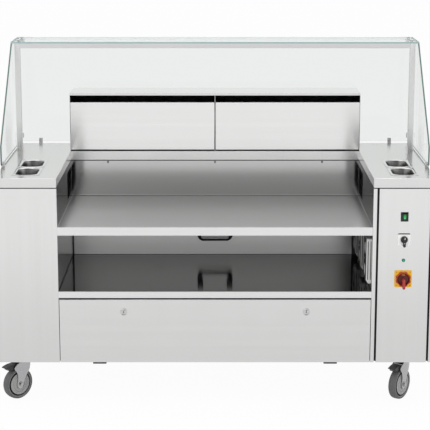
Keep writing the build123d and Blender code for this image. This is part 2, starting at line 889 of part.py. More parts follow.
with BuildPart() as main_switch_handle:
    with BuildSketch(facing(main_knob_back)):
        with Locations(main_centre):
            Circle(main_collar / 2)
            with PolarLocations(main_collar / 2, main_scallops):
                Circle(main_scallop / 2, mode=Mode.SUBTRACT)
    extrude(amount=main_collar_height)
    with BuildSketch(facing(main_knob_back - main_collar_height)):
        with Locations((control_x, grip_middle_z)):
            SlotOverall(grip_length, main_grip_width, rotation=90)
    extrude(amount=main_grip_height)
    grip_edges = main_switch_handle.faces().sort_by(Axis.Y)[0].edges()
    fillet(grip_edges, radius=edge_round)
    with BuildSketch(facing(main_knob_back)):
        with Locations(main_centre):
            Circle(main_shaft / 2)
    extrude(amount=-(main_shaft_depth - main_plate_thickness))
save(main_switch_handle.part, "main_switch_handle")

# Hood housing: top, ends, back and a middle divider, open below and in front
hood_half = bay_half + hood_overlap
hood_top = worktop_height + hood_height
slot_top = hood_top - hood_lip
slot_bottom = slot_top - hood_slot
hood_front = bay_rear

with BuildPart() as hood_housing:
    slab((-hood_half, hood_half), (hood_front, hood_rear), (hood_top - sheet, hood_top))
    slab((-hood_half, hood_half), span(hood_front, sheet), (slot_top, hood_top))
    slab((-hood_half, hood_half), (hood_rear - sheet, hood_rear), (worktop_height, hood_top))
    for wall_x in (-hood_half, -sheet / 2, hood_half - sheet):
        slab(span(wall_x, sheet), (hood_front, hood_rear), (worktop_height, hood_top))
save(hood_housing.part, "hood_housing")

# Hood covers: folded trays below the slot, each with a level grease filter behind it
cover_z = (worktop_height + cover_gap, slot_bottom)
cover_y = span(hood_front, fold_return)
filter_y = (cover_y[1], hood_rear - sheet - side_gap)
filter_z = span(cover_z[1] - filter_drop - filter_thickness, filter_thickness)
cover_length = hood_half - sheet - side_gap / 2 - cover_seam
filter_length = cover_length - 2 * filter_inset
baffle_pitch = (filter_length - 2 * filter_frame) / filter_baffles


def hood_cover(side):
    """One tray with its two feet."""
    near_x = side * cover_seam
    far_x = side * (cover_seam + cover_length)
    inset_x = (near_x + side * sheet, far_x - side * sheet)
    with BuildPart() as cover:
        slab((near_x, far_x), cover_y, cover_z)
        edges_in_front = cover.faces().sort_by(Axis.Y)[0].edges()
        fillet(edges_in_front, radius=cover_round)
        inset_z = (cover_z[0] + sheet, cover_z[1] - sheet)
        slab(inset_x, (hood_front + sheet, cover_y[1]), inset_z, Mode.SUBTRACT)
        foot_y = (hood_front + 2 * sheet, cover_y[1])
        for end_x, inward in ((near_x, side), (far_x, -side)):
            foot_x = span(end_x + inward * cover_foot_inset, inward * cover_foot_length)
            slab(foot_x, foot_y, (worktop_height + rest_gap, cover_z[0]))
    return cover.part


def grease_filter(side):
    """A framed filter with two staggered layers of baffles."""
    middle_x = side * (cover_seam + cover_length / 2)
    filter_x = span(middle_x - filter_length / 2, filter_length)
    with BuildPart() as cassette:
        slab(filter_x, filter_y, filter_z)
        window_x = (filter_x[0] + filter_frame, filter_x[1] - filter_frame)
        window_y = (filter_y[0] + filter_frame, filter_y[1] - filter_frame)
        slab(window_x, window_y, filter_z, Mode.SUBTRACT)
        for baffle in range(filter_baffles):
            baffle_x = window_x[0] + (baffle + 0.5) * baffle_pitch - filter_baffle_width / 2
            row_z = filter_z[0] if baffle % 2 else filter_z[1] - filter_baffle_thickness
            slab(span(baffle_x, filter_baffle_width), window_y, span(row_z, filter_baffle_thickness))
    return cassette.part


save(hood_cover(-1), "left_hood_cover")
save(hood_cover(1), "right_hood_cover")
save(grease_filter(-1), "left_grease_filter")
save(grease_filter(1), "right_grease_filter")

# Guard posts, with the rail between them and the arms behind them that carry the top glass
guard_top = worktop_height + guard_height
top_glass_under = guard_top - glass
post_out = half_width - post_from_side
post_middle_x = post_out - guard_tube / 2
post_y = front + post_depth
post_middle_y = post_y + guard_tube / 2
rail_middle_z = top_glass_under - guard_tube / 2
rear_glass_front = front + rear_glass_depth
tube_bore = guard_tube - 2 * tube_wall

with BuildPart() as guard_posts:
    with BuildSketch(Plane.XY.offset(worktop_height)):
        with Locations((-post_middle_x, post_middle_y), (post_middle_x, post_middle_y)):
            Rectangle(post_foot - 2 * glass, post_foot)
            Rectangle(tube_bore, tube_bore, mode=Mode.SUBTRACT)
    extrude(amount=post_foot_height)
    with BuildSketch(Plane.XY.offset(worktop_height)):
        with Locations((-post_middle_x, post_middle_y), (post_middle_x, post_middle_y)):
            RectangleRounded(guard_tube, guard_tube, tube_wall)
            Rectangle(tube_bore, tube_bore, mode=Mode.SUBTRACT)
    extrude(amount=top_glass_under - worktop_height)
save(guard_posts.part, "guard_posts")

with BuildPart() as guard_rail:
    with BuildSketch(Plane.YZ.offset(-post_middle_x + guard_tube / 2)):
        with Locations((post_middle_y, rail_middle_z)):
            RectangleRounded(guard_tube, guard_tube, tube_wall)
            Rectangle(tube_bore, tube_bore, mode=Mode.SUBTRACT)
    extrude(amount=2 * post_middle_x - guard_tube)
    with BuildSketch(facing(post_y + guard_tube)):
        with Locations((-post_middle_x, rail_middle_z), (post_middle_x, rail_middle_z)):
            RectangleRounded(guard_tube, guard_tube, tube_wall)
            Rectangle(tube_bore, tube_bore, mode=Mode.SUBTRACT)
    extrude(amount=-(rear_glass_front - post_y - guard_tube))
save(guard_rail.part, "guard_rail")

# Glass panes: one behind, two at the sides with sloping fronts, one on top
glass_bottom = worktop_height + glass_lift
side_glass_inner = half_width - glass
button_places = [
    (side * post_middle_x, place_y)
    for side in (-1, 1)
    for place_y in (post_y + button_front, rear_glass_front - button_rear)
]

with BuildPart() as rear_glass:
    slab(
        (-side_glass_inner, side_glass_inner),
        span(rear_glass_front, glass),
        (glass_bottom, top_glass_under),
    )
save(rear_glass.part, "rear_glass")


def side_glass(side):
    """A pane along one side, low in front and full height behind."""
    shoulder_z = worktop_height + side_glass_shoulder
    with BuildPart() as pane:
        with BuildSketch(Plane.YZ.offset(side * side_glass_inner)) as outline:
            with BuildLine():
                Polyline(
                    (front + side_glass_front, glass_bottom),
                    (front + side_glass_front, shoulder_z),
                    (front + top_glass_front, top_glass_under),
                    (rear, top_glass_under),
                    (rear, glass_bottom),
                    close=True,
                )
            make_face()
            low_corners = outline.vertices().sort_by(Axis.X)[:2]
            fillet(low_corners, radius=glass_corner)
        extrude(amount=side * glass)
    return pane.part


save(side_glass(-1), "left_glass")
save(side_glass(1), "right_glass")

with BuildPart() as top_glass:
    top_y = (front + top_glass_front, rear)
    slab((-half_width, half_width), top_y, (top_glass_under, guard_top))
    with BuildSketch(Plane.XY.offset(top_glass_under)):
        with Locations(*button_places):
            Circle(button_shank / 2 + button_hole_clear)
    extrude(amount=glass, mode=Mode.SUBTRACT)
save(top_glass.part, "top_glass")

# Glass fittings: clamps at the foot of the panes, corner clamps and top buttons
clamp_z = span(worktop_height, clamp_height)
clamp_slot_z = (glass_bottom, worktop_height + clamp_height)
corner_clamp_z = span(worktop_height + corner_clamp_rise, corner_clamp_height)

with BuildPart() as glass_fittings:
    for clamp_x in (-rear_clamp_spacing, -rear_clamp_inner, rear_clamp_inner, rear_clamp_spacing):
        clamp_span = span(clamp_x - clamp_width / 2, clamp_width)
        slab(clamp_span, (rear_glass_front - clamp_jaw, rear_glass_front + glass + clamp_jaw), clamp_z)
        slab(clamp_span, span(rear_glass_front, glass), clamp_slot_z, Mode.SUBTRACT)
    for side in (-1, 1):
        for clamp_start in (side_glass_front + side_clamp_front, side_glass_front + side_clamp_rear):
            clamp_span = span(front + clamp_start, clamp_width)
            clamp_x = (side * (side_glass_inner - 2 * clamp_jaw), side * half_width)
            slab(clamp_x, clamp_span, clamp_z)
            slab((side * side_glass_inner, side * half_width), clamp_span, clamp_slot_z, Mode.SUBTRACT)
        corner_x = (side * (side_glass_inner - corner_clamp), side * side_glass_inner)
        slab(corner_x, (rear_glass_front - corner_clamp, rear_glass_front), corner_clamp_z)
    with BuildSketch(Plane.XY.offset(guard_top)):
        with Locations(*button_places):
            Circle(button / 2)
    extrude(amount=button_height)
    button_edges = glass_fittings.faces().sort_by(Axis.Z)[-len(button_places):].edges()
    fillet(button_edges, radius=button_height / 3)
    with BuildSketch(Plane.XY.offset(guard_top)):
        with Locations(*button_places):
            Circle(button_shank / 2)
    extrude(amount=-glass)
save(glass_fittings.part, "glass_fittings")

# Castor pieces, made about a swivel axis at the origin with the trail along +X
plate_bottom = pan_under - castor_plate_thickness
race_bottom = plate_bottom - race_height
fork_top = race_bottom - rest_gap
fork_under = fork_top - fork_top_thickness
pin_head_top = fork_under - rest_gap
axle_z = wheel / 2
leg_inner = wheel_width / 2 + fork_gap
leg_outer = leg_inner + fork_thickness
pedal_pivot_x = trail + pedal_pivot_out
pedal_pivot_z = axle_z + pedal_pivot_up
tyre_inner = wheel / 2 - tyre_depth

with BuildPart() as castor_plate:
    with BuildSketch(Plane.XY.offset(plate_bottom)):
        RectangleRounded(castor_plate_length, castor_plate_width, plate_corner)
    extrude(amount=castor_plate_thickness)
    with BuildSketch(Plane.XY.offset(race_bottom)):
        Circle(race / 2)
    extrude(amount=race_height)
    with BuildSketch(Plane.XY.offset(pin_head_top)):
        Circle(kingpin / 2)
    extrude(amount=race_bottom - pin_head_top)
    with BuildSketch(Plane.XY.offset(pin_head_top)):
        Circle(kingpin_head / 2)
    extrude(amount=-kingpin_head_height)

with BuildPart() as castor_fork:
    with BuildSketch(Plane.XY.offset(fork_under)):
        Circle(race / 2)
        with Locations((trail / 2, 0)):
            Rectangle(trail, 2 * leg_outer)
    extrude(amount=fork_top_thickness)
    for leg_face in (leg_outer, -leg_inner):
        with BuildSketch(Plane.XZ.offset(leg_face)):
            with Locations((trail, axle_z)):
                Circle(axle_boss)
            with Locations((pedal_pivot_x, pedal_pivot_z)):
                Circle(pedal_boss)
            with Locations((trail / 2, fork_top - fork_top_thickness / 2)):
                Rectangle(trail, fork_top_thickness)
            make_hull()
        extrude(amount=-fork_thickness)
    with BuildSketch(Plane.XY.offset(fork_under)):
        Circle(kingpin / 2 + shaft_clear)
    extrude(amount=fork_top_thickness, mode=Mode.SUBTRACT)
    with BuildSketch(Plane.XZ.offset(leg_outer)):
        with Locations((trail, axle_z)):
            Circle(axle / 2 + shaft_clear)
        with Locations((pedal_pivot_x, pedal_pivot_z)):
            Circle(pedal_pin / 2 + shaft_clear)
    extrude(amount=-2 * leg_outer, mode=Mode.SUBTRACT)

with BuildPart() as castor_axle:
    with BuildSketch(Plane.XZ.offset(leg_outer)):
        with Locations((trail, axle_z)):
            Circle(axle / 2)
    extrude(amount=-2 * leg_outer)
    for head_face, head_reach in ((leg_outer, axle_head_height), (-leg_outer, -axle_head_height)):
        with BuildSketch(Plane.XZ.offset(head_face)):
            with Locations((trail, axle_z)):
                RegularPolygon(axle_head / 2, 6)
        extrude(amount=head_reach)

wheel_plane = Plane(origin=(trail, 0, axle_z), x_dir=(1, 0, 0), z_dir=(0, -1, 0))
boss_half = leg_inner - rest_gap

with BuildPart() as wheel_core:
    with BuildSketch(wheel_plane):
        Circle(tyre_inner)
    extrude(amount=core_web / 2, both=True)
    with BuildSketch(wheel_plane):
        Circle(tyre_inner)
        Circle(tyre_inner - core_rim, mode=Mode.SUBTRACT)
    extrude(amount=wheel_width / 2 - tyre_round / 2, both=True)
    with BuildSketch(wheel_plane):
        Circle(core_boss / 2)
    extrude(amount=boss_half, both=True)
    with BuildSketch(wheel_plane):
        Circle(axle / 2 + shaft_clear)
    extrude(amount=boss_half, both=True, mode=Mode.SUBTRACT)

with BuildPart() as wheel_tyre:
    with BuildSketch(wheel_plane):
        Circle(wheel / 2)
        Circle(tyre_inner, mode=Mode.SUBTRACT)
    extrude(amount=wheel_width / 2, both=True)
    shoulder_edges = wheel_tyre.edges().filter_by(GeomType.CIRCLE).group_by(SortBy.RADIUS)[-1]
    fillet(shoulder_edges, radius=tyre_round)

with BuildPart() as brake_pedal:
    with BuildSketch(Plane.XZ):
        with BuildLine():
            Polyline(
                (pedal_pivot_x, pedal_pivot_z),
                (pedal_pivot_x + pedal_reach, pedal_pivot_z + pedal_lift),
                (pedal_pivot_x + pedal_reach, pedal_pivot_z + pedal_lift + pedal_thickness),
                (pedal_pivot_x, pedal_pivot_z + pedal_barrel / 2),
                close=True,
            )
        make_face()
        with Locations((pedal_pivot_x, pedal_pivot_z)):
            Circle(pedal_barrel / 2)
    extrude(amount=pedal_width / 2, both=True)
    toe = brake_pedal.edges().filter_by(Axis.Y).group_by(Axis.X)[-1]
    fillet(toe, radius=edge_round)
    with BuildSketch(Plane.XZ):
        with Locations((pedal_pivot_x, pedal_pivot_z)):
            Circle(pedal_pin / 2)
    extrude(amount=leg_outer, both=True)

castor_x = half_width - castor_inset_x
castor_front_y = front + castor_inset_y
castor_rear_y = rear - castor_inset_y
castor_places = {
    "front_left": (-castor_x, castor_front_y, front_left_trail_angle),
    "front_right": (castor_x, castor_front_y, front_right_trail_angle),
    "rear_left": (-castor_x, castor_rear_y, rear_left_trail_angle),
    "rear_right": (castor_x, castor_rear_y, rear_right_trail_angle),
}

with BuildPart() as castor_plates:
    with Locations(*((x, y, 0) for x, y, angle in castor_places.values())):
        add(castor_plate.part)
save(castor_plates.part, "castor_plates")


def placed(piece, place):
    """A copy of one castor piece at its corner, turned to its trail direction."""
    x, y, angle = place
    with BuildPart() as copy_there:
        with Locations(Location((x, y, 0), (0, 0, angle))):
            add(piece.part)
    return copy_there.part


for corner, place in castor_places.items():
    fork_and_axle = Compound([placed(castor_fork, place), placed(castor_axle, place)])
    save(fork_and_axle, f"castor_fork_{corner}")
    core_and_tyre = Compound([placed(wheel_core, place), placed(wheel_tyre, place)])
    save(core_and_tyre, f"castor_wheel_{corner}")

save(placed(brake_pedal, castor_places["front_left"]), "brake_pedal_left")
save(placed(brake_pedal, castor_places["front_right"]), "brake_pedal_right")

# Fan in the base: a scroll that blows down through the base pan, its motor and impeller
fan_z = pan_top + scroll_radius + scroll_rise
fan_axis = Plane(origin=(0, fan_y, fan_z), x_dir=(0, 1, 0), z_dir=(1, 0, 0))
outlet_middle = (scroll_radius / 2, -(fan_z - pan_top) / 2)
outlet_height = fan_z - pan_top
scroll_half = scroll_width / 2

with BuildPart() as fan_scroll:
    with BuildSketch(fan_axis):
        Circle(scroll_radius)
        with Locations(outlet_middle):
            Rectangle(scroll_radius, outlet_height)
    extrude(amount=scroll_half, both=True)
    with BuildSketch(fan_axis):
        Circle(scroll_radius - sheet)
        with Locations(outlet_middle):
            Rectangle(scroll_radius - 2 * sheet, outlet_height)
    extrude(amount=scroll_half - sheet, both=True, mode=Mode.SUBTRACT)
    with BuildSketch(fan_axis):
        Circle(inlet / 2)
    extrude(amount=-scroll_half, mode=Mode.SUBTRACT)
    with BuildSketch(fan_axis):
        Circle(motor_shaft / 2 + shaft_hole_clear)
    extrude(amount=scroll_half, mode=Mode.SUBTRACT)
save(fan_scroll.part, "fan_scroll")

impeller_half = impeller_width / 2
impeller_ring = impeller / 2 - blade_length
shaft_reach = scroll_half + impeller_half - impeller_plate

with BuildPart() as fan_motor:
    with BuildSketch(fan_axis.offset(scroll_half)):
        Circle(motor / 2)
    extrude(amount=motor_length)
    motor_edges = fan_motor.faces().sort_by(Axis.X)[-1].edges()
    fillet(motor_edges, radius=plate_corner)
    with BuildSketch(fan_axis.offset(scroll_half)):
        Circle(motor_shaft / 2)
    extrude(amount=-shaft_reach)
save(fan_motor.part, "fan_motor")

with BuildPart() as fan_impeller:
    with BuildSketch(fan_axis.offset(impeller_half)):
        Circle(impeller / 2)
    extrude(amount=-impeller_plate)
    with BuildSketch(fan_axis.offset(-impeller_half)):
        Circle(impeller / 2)
        Circle(impeller_ring, mode=Mode.SUBTRACT)
    extrude(amount=impeller_plate)
    with BuildSketch(fan_axis.offset(-impeller_half)):
        with PolarLocations(impeller / 2 - blade_length / 2 - blade_thickness, impeller_blades):
            Rectangle(blade_length - blade_thickness, blade_thickness)
    extrude(amount=impeller_width)
    with BuildSketch(fan_axis.offset(impeller_half)):
        Circle(impeller_hub / 2)
    extrude(amount=-impeller_half)
    with BuildSketch(fan_axis.offset(impeller_half)):
        Circle(motor_shaft / 2 + shaft_clear)
    extrude(amount=-impeller_width, mode=Mode.SUBTRACT)
save(fan_impeller.part, "fan_impeller")

# Carbon filter: a framed cassette on the base pan, between the rear duct and the fan
carbon_half = bay_half - side_gap
carbon_y = span(bay_rear - carbon_from_rear - carbon_thickness, carbon_thickness)
carbon_z = (pan_top, lower_shelf_height - sheet - carbon_top_gap)
carbon_window_x = (-carbon_half + carbon_frame, carbon_half - carbon_frame)
carbon_window_z = (carbon_z[0] + carbon_frame, carbon_z[1] - carbon_frame)
carbon_pitch = (carbon_window_x[1] - carbon_window_x[0]) / carbon_bars

with BuildPart() as carbon_filter:
    slab((-carbon_half, carbon_half), carbon_y, carbon_z)
    slab(carbon_window_x, carbon_y, carbon_window_z, Mode.SUBTRACT)
    for bar in range(carbon_bars):
        bar_x = carbon_window_x[0] + (bar + 0.5) * carbon_pitch - carbon_bar_width / 2
        slab(span(bar_x, carbon_bar_width), carbon_y, carbon_window_z)
save(carbon_filter.part, "carbon_filter")

# Electrical box on the inside of the right outer side
box_x = (half_width - sheet - box_depth, half_width - sheet)
box_y = span(front + box_from_front, box_length)
box_z = span(box_bottom, box_height)

with BuildPart() as electrical_box:
    slab(box_x, box_y, box_z)
    box_edges = electrical_box.faces().sort_by(Axis.X)[0].edges()
    fillet(box_edges, radius=plate_corner)
    slab(
        (box_x[0] + box_wall, box_x[1] - box_wall),
        (box_y[0] + box_wall, box_y[1] - box_wall),
        (box_z[0] + box_wall, box_z[1] - box_wall),
        Mode.SUBTRACT,
    )
save(electrical_box.part, "electrical_box")
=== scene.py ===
# A mobile front-cooking station in brushed stainless steel: two columns with food pans, a
# sunken bay for table appliances, an extraction hood, a glass guard and four castors.
# Metres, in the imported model's frame: +X to the cook's right, +Y away from the cook, +Z up.
import json
import math

import bmesh
import bpy
from mathutils import Matrix, Vector

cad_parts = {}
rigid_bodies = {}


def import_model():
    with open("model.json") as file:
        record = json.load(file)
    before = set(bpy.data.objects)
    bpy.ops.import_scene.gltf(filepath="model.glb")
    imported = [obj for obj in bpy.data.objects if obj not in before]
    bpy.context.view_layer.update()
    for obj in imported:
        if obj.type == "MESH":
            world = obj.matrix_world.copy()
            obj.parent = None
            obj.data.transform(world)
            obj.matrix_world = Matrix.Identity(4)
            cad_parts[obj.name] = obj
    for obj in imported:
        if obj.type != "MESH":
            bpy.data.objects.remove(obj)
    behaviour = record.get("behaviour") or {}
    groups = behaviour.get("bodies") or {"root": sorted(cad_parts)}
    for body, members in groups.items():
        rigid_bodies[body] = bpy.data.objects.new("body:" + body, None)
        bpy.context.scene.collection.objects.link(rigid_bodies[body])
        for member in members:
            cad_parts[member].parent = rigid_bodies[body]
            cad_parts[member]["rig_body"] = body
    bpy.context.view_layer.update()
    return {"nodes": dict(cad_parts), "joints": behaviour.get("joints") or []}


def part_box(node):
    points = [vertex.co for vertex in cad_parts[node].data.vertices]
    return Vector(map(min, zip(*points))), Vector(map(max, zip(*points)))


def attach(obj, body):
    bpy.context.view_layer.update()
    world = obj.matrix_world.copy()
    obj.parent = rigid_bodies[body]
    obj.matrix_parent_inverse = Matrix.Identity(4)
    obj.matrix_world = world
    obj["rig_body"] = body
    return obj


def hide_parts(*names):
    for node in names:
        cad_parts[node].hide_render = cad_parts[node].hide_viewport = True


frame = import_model()
nodes = frame["nodes"]
pivots = {joint["name"]: Vector(joint["pos_m"]) for joint in frame["joints"] if joint.get("pos_m")}

# Castors
# Bought-in swivel castors under the four corners: forks pressed from zinc-plated sheet, grey
# rubber tyres on plastic cores with covered faces, and a bolt through the fork as the axle.
# Black pedals brake the front pair, and four bolts hold each plate to the base pan.


def feed(tree, node, inputs):
    """Give the inputs of a node their values, or link them to sockets."""
    for key, value in inputs.items():
        if isinstance(value, bpy.types.NodeSocket):
            tree.links.new(value, node.inputs[key])
        else:
            node.inputs[key].default_value = value


def place_node(tree, kind, inputs=None, **settings):
    """Add one node with its settings and inputs."""
    node = tree.nodes.new(kind)
    for key, value in settings.items():
        setattr(node, key, value)
    feed(tree, node, inputs or {})
    return node


def reckon(tree, operation, *values, kind="ShaderNodeMath"):
    """The result of a math node, from numbers or sockets."""
    return place_node(tree, kind, dict(enumerate(values)), operation=operation).outputs[0]


def scaled(tree, vector, times):
    """A colour or a place times a number."""
    inputs = {0: vector, "Scale": times}
    return place_node(tree, "ShaderNodeVectorMath", inputs, operation="SCALE").outputs[0]


def noise(tree, place, scale, detail, distortion=0.0):
    """The value of a cloudy pattern at a place."""
    inputs = {"Vector": place, "Scale": scale, "Detail": detail, "Distortion": distortion}
    return place_node(tree, "ShaderNodeTexNoise", inputs).outputs[0]


def spread_about(tree, base, amount, pattern):
    """base + amount * (pattern - 0.5), the way an even value is made uneven."""
    return reckon(tree, "MULTIPLY_ADD", reckon(tree, "SUBTRACT", pattern, 0.5), amount, base)


def new_group(name, sockets_in, sockets_out, kind="ShaderNodeTree"):
    """Start a node group; returns it with the sockets that come in and its output node."""
    group = bpy.data.node_groups.new(name, kind)
    for in_out, sockets in (("INPUT", sockets_in), ("OUTPUT", sockets_out)):
        for label, holds in sockets.items():
            group.interface.new_socket(label, in_out=in_out, socket_type=f"NodeSocket{holds}")
    return group, group.nodes.new("NodeGroupInput").outputs, group.nodes.new("NodeGroupOutput")


mottled_skin, skin_in, skin_out = new_group(
    "mottled_skin",
    {"Base": "Color", "Shade": "Float", "Gloss": "Float", "Spread": "Float", "Scale": "Float"},
    {"Color": "Color", "Roughness": "Float", "Height": "Float"},
)
skin_place = place_node(mottled_skin, "ShaderNodeTexCoord").outputs["Object"]
skin_clouds = noise(mottled_skin, skin_place, skin_in["Scale"], detail=4.0, distortion=0.4)
pit_fineness = 14.0
pit_scale = reckon(mottled_skin, "MULTIPLY", skin_in["Scale"], pit_fineness)
skin_shade = spread_about(mottled_skin, 1.0, skin_in["Shade"], skin_clouds)
feed(mottled_skin, skin_out, {
    "Color": scaled(mottled_skin, skin_in["Base"], skin_shade),
    "Roughness": spread_about(mottled_skin, skin_in["Gloss"], skin_in["Spread"], skin_clouds),
    "Height": noise(mottled_skin, skin_place, pit_scale, detail=2.0),
})


def start_finish(name, metallic):
    """A new material; returns it, its node tree and its Principled shader."""
    material = bpy.data.materials.new(name)
    material.use_nodes = True
    shader = material.node_tree.nodes["Principled BSDF"]
    shader.inputs["Metallic"].default_value = metallic
    return material, material.node_tree, shader


def lay_on(tree, shader, group, values, strength, depth):
    """Lay a group's colour, gloss and relief on a shader."""
    skin = place_node(tree, "ShaderNodeGroup", values, node_tree=group)
    relief = {"Height": skin.outputs["Height"], "Strength": strength, "Distance": depth}
    feed(tree, shader, {
        "Base Color": skin.outputs["Color"],
        "Roughness": skin.outputs["Roughness"],
        "Normal": place_node(tree, "ShaderNodeBump", relief).outputs["Normal"],
    })


def skinned(name, colour, roughness, scale, shade=0.12, spread=0.12, bump=0.00004, metallic=0.0):
    """A moulded, plated or cast finish: cloudy shade, uneven gloss and a fine grained skin."""
    material, tree, shader = start_finish(name, metallic)
    values = {"Base": (*colour, 1.0), "Shade": shade, "Gloss": roughness, "Spread": spread, "Scale": scale}
    lay_on(tree, shader, mottled_skin, values, strength=0.6, depth=bump)
    return material


def shown(name, data):
    """A new object in the scene."""
    thing = bpy.data.objects.new(name, data)
    bpy.context.scene.collection.objects.link(thing)
    return thing


def new_piece(name, shape, finishes, body, replaced=(), smooth_below=None):
    """Turn a finished bmesh into a piece that rides on a body and stands for CAD nodes."""
    mesh = bpy.data.meshes.new(name)
    if smooth_below is not None:
        for face in shape.faces:
            face.smooth = True
    shape.to_mesh(mesh)
    shape.free()
    if smooth_below is not None:
        mesh.set_sharp_from_angle(angle=math.radians(smooth_below))
    for finish in finishes:
        mesh.materials.append(finish)
    piece = shown(name, mesh)
    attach(piece, body)
    if replaced:
        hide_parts(*replaced)
    return piece


def coat(names, finish):
    """Give CAD nodes their finish."""
    for name in names:
        for material_slot in nodes[name].material_slots:
            material_slot.material = finish


def second_finish(shape, test):
    """Give a shape's second finish to the faces whose middle passes a test."""
    for face in shape.faces:
        face.material_index = int(test(face.calc_center_median()))


def skin_rings(shape, rings, closed=False):
    """Faces from each ring of points to the next, and from the last to the first if closed."""
    faces = []
    for ring, after in zip(rings, rings[1:] + (rings[:1] if closed else [])):
        for i in range(len(ring)):
            j = (i + 1) % len(ring)
            faces.append(shape.faces.new((ring[i], ring[j], after[j], after[i])))
    return faces


def turn(shape, outline, place, steps, lobes=0, rise=0.0):
    """Revolve an outline of radius and offset about the local Y axis, closed on itself.

    With lobes, a point's third number is the share of their rise that shows there.
    """
    rings = []
    for step in range(steps):
        angle = 2 * math.pi * step / steps
        ring = []
        for radius, offset, *share in outline:
            reach = radius - sum(share) * rise * math.cos(lobes * angle)
            spot = Vector((reach * math.cos(angle), offset, reach * math.sin(angle)))
            ring.append(shape.verts.new(place @ spot))
        rings.append(ring)
    skin_rings(shape, rings, closed=True)


def prism(shape, outline, place, near, far):
    """A closed prism: an outline of (x, z) points between two depths along the local Y axis."""
    caps = [[shape.verts.new(place @ Vector((x, depth, z))) for x, z in outline] for depth in (near, far)]
    skin_rings(shape, caps)
    for cap in caps:
        shape.faces.new(cap)
    bmesh.ops.recalc_face_normals(shape, faces=shape.faces)


def close_up(shape):
    """Merge the doubled points of a built shape and turn its faces outwards."""
    bmesh.ops.remove_doubles(shape, verts=shape.verts, dist=1e-6)
    bmesh.ops.dissolve_degenerate(shape, edges=shape.edges, dist=1e-7)
    bmesh.ops.recalc_face_normals(shape, faces=shape.faces)


def ease_edges(shape, width, sharp=30.0, segments=2):
    """Round off the edges of a closed shape where two faces meet at more than an angle."""
    hard = [
        line for line in shape.edges
        if len(line.link_faces) == 2 and line.calc_face_angle() > math.radians(sharp)
    ]
    bmesh.ops.bevel(shape, geom=hard, offset=width, segments=segments, affect="EDGES", clamp_overlap=True)


def mirrored(half):
    """A closed outline from its half on the positive side."""
    return half + [(radius, -offset) for radius, offset in reversed(half)]


def arc(x, z, radius, start, end, steps=10):
    """Points of an arc in an (x, z) outline, by its centre, radius and angles in degrees."""
    angles = [math.radians(start + (end - start) * step / steps) for step in range(steps + 1)]
    return [(x + radius * math.cos(angle), z + radius * math.sin(angle)) for angle in angles]


def heading(start, end):
    """The turn about the upright axis that points from one place to another."""
    return Matrix.Rotation(math.atan2(end.y - start.y, end.x - start.x), 4, "Z")


zinc = skinned("zinc_plate", (0.50, 0.50, 0.51), 0.26, 60, shade=0.2, spread=0.2, metallic=1.0)
tyre_rubber = skinned("tyre_rubber", (0.115, 0.115, 0.116), 0.62, 90, shade=0.25, bump=0.00012)
# Painted highlight: a lighter copy of the tyre's rubber along its inner bead
tyre_bead_painted_highlight = skinned("tyre_bead_painted_highlight", (0.21, 0.21, 0.21), 0.55, 90, shade=0.2, bump=0.00008)
core_plastic = skinned("wheel_core_plastic", (0.35, 0.35, 0.345), 0.42, 120, shade=0.1)
# Painted shade: the groove between core and tyre is coloured near-black
groove_shade = skinned("wheel_groove_painted_shade", (0.012, 0.012, 0.012), 0.7, 90, shade=0.2)
black_plastic = skinned("black_plastic", (0.018, 0.018, 0.019), 0.42, 220, shade=0.3, bump=0.00003)
pedal_plastic = skinned("pedal_plastic", (0.030, 0.030, 0.031), 0.36, 220, shade=0.25)

# Outlines about the axle or the swivel: radius, then offset along the axis
tyre_half = [
    (0.0497, 0.0100), (0.0500, 0.0132), (0.0512, 0.0152), (0.0526, 0.0160), (0.0538, 0.0152),
    (0.0545, 0.0148), (0.0572, 0.0154), (0.0598, 0.0142), (0.0614, 0.0116), (0.0622, 0.0070),
    (0.0625, 0.0020),
]
bead_reach = 0.0572
core_half = [
    (0.0496, 0.0092), (0.0486, 0.0100), (0.0470, 0.0088), (0.0458, 0.0096), (0.0450, 0.0138),
    (0.0438, 0.0150), (0.0330, 0.0160), (0.0322, 0.0150), (0.0308, 0.0150), (0.0300, 0.0163),
    (0.0204, 0.0172), (0.0196, 0.0160), (0.0180, 0.0160), (0.0172, 0.0176), (0.0120, 0.0194),
    (0.0051, 0.0194),
]
groove_reach = 0.0462
swivel_head = [
    (0.0070, 0.1590), (0.0240, 0.1590), (0.0282, 0.1578), (0.0290, 0.1560), (0.0280, 0.1542),
    (0.0230, 0.1536), (0.0070, 0.1536),
]
washer = [(0.0110, 0.0246), (0.0104, 0.0252), (0.0052, 0.0252), (0.0052, 0.0231), (0.0110, 0.0231)]
bolt_head = [(0.0000, 0.0300), (0.0072, 0.0300), (0.0085, 0.0290), (0.0085, 0.0252), (0.0000, 0.0252)]
# Height above the floor, then the two edges of a fork's leg along the trail: it tapers to the
# hub on the swivel's side and swells to an eye for the pedal's pin on the other
leg_stations = [
    (0.0440, 0.0350, 0.0430), (0.0470, 0.0272, 0.0500), (0.0540, 0.0212, 0.0545),
    (0.0625, 0.0186, 0.0552), (0.0740, 0.0140, 0.0530), (0.0860, 0.0080, 0.0510),
    (0.0980, 0.0010, 0.0515), (0.1080, -0.0045, 0.0540), (0.1160, -0.0080, 0.0590),
    (0.1230, -0.0100, 0.0655), (0.1305, -0.0112, 0.0685), (0.1375, -0.0118, 0.0660),
    (0.1440, -0.0122, 0.0560),
]
leg_middle = 0.0215
bend_radius = 0.008
crown_top = 0.1567
# Angle round the bend into the crown, then the two edges; then the edges in the crown's middle
crown_stations = [(0.0, -0.0130, 0.0470), (45.0, -0.0180, 0.0390), (90.0, -0.0240, 0.0330)]
crown_middle = (-0.0270, 0.0310)
# How far the columns of a leg's sheet lean inwards, from its rolled edge on the swivel's side
leg_roll = [0.0075, 0.0024, 0.0003, 0.0, 0.0, 0.0, 0.0006]
sheet_columns = len(leg_roll) - 1
fork_sheet = 0.003


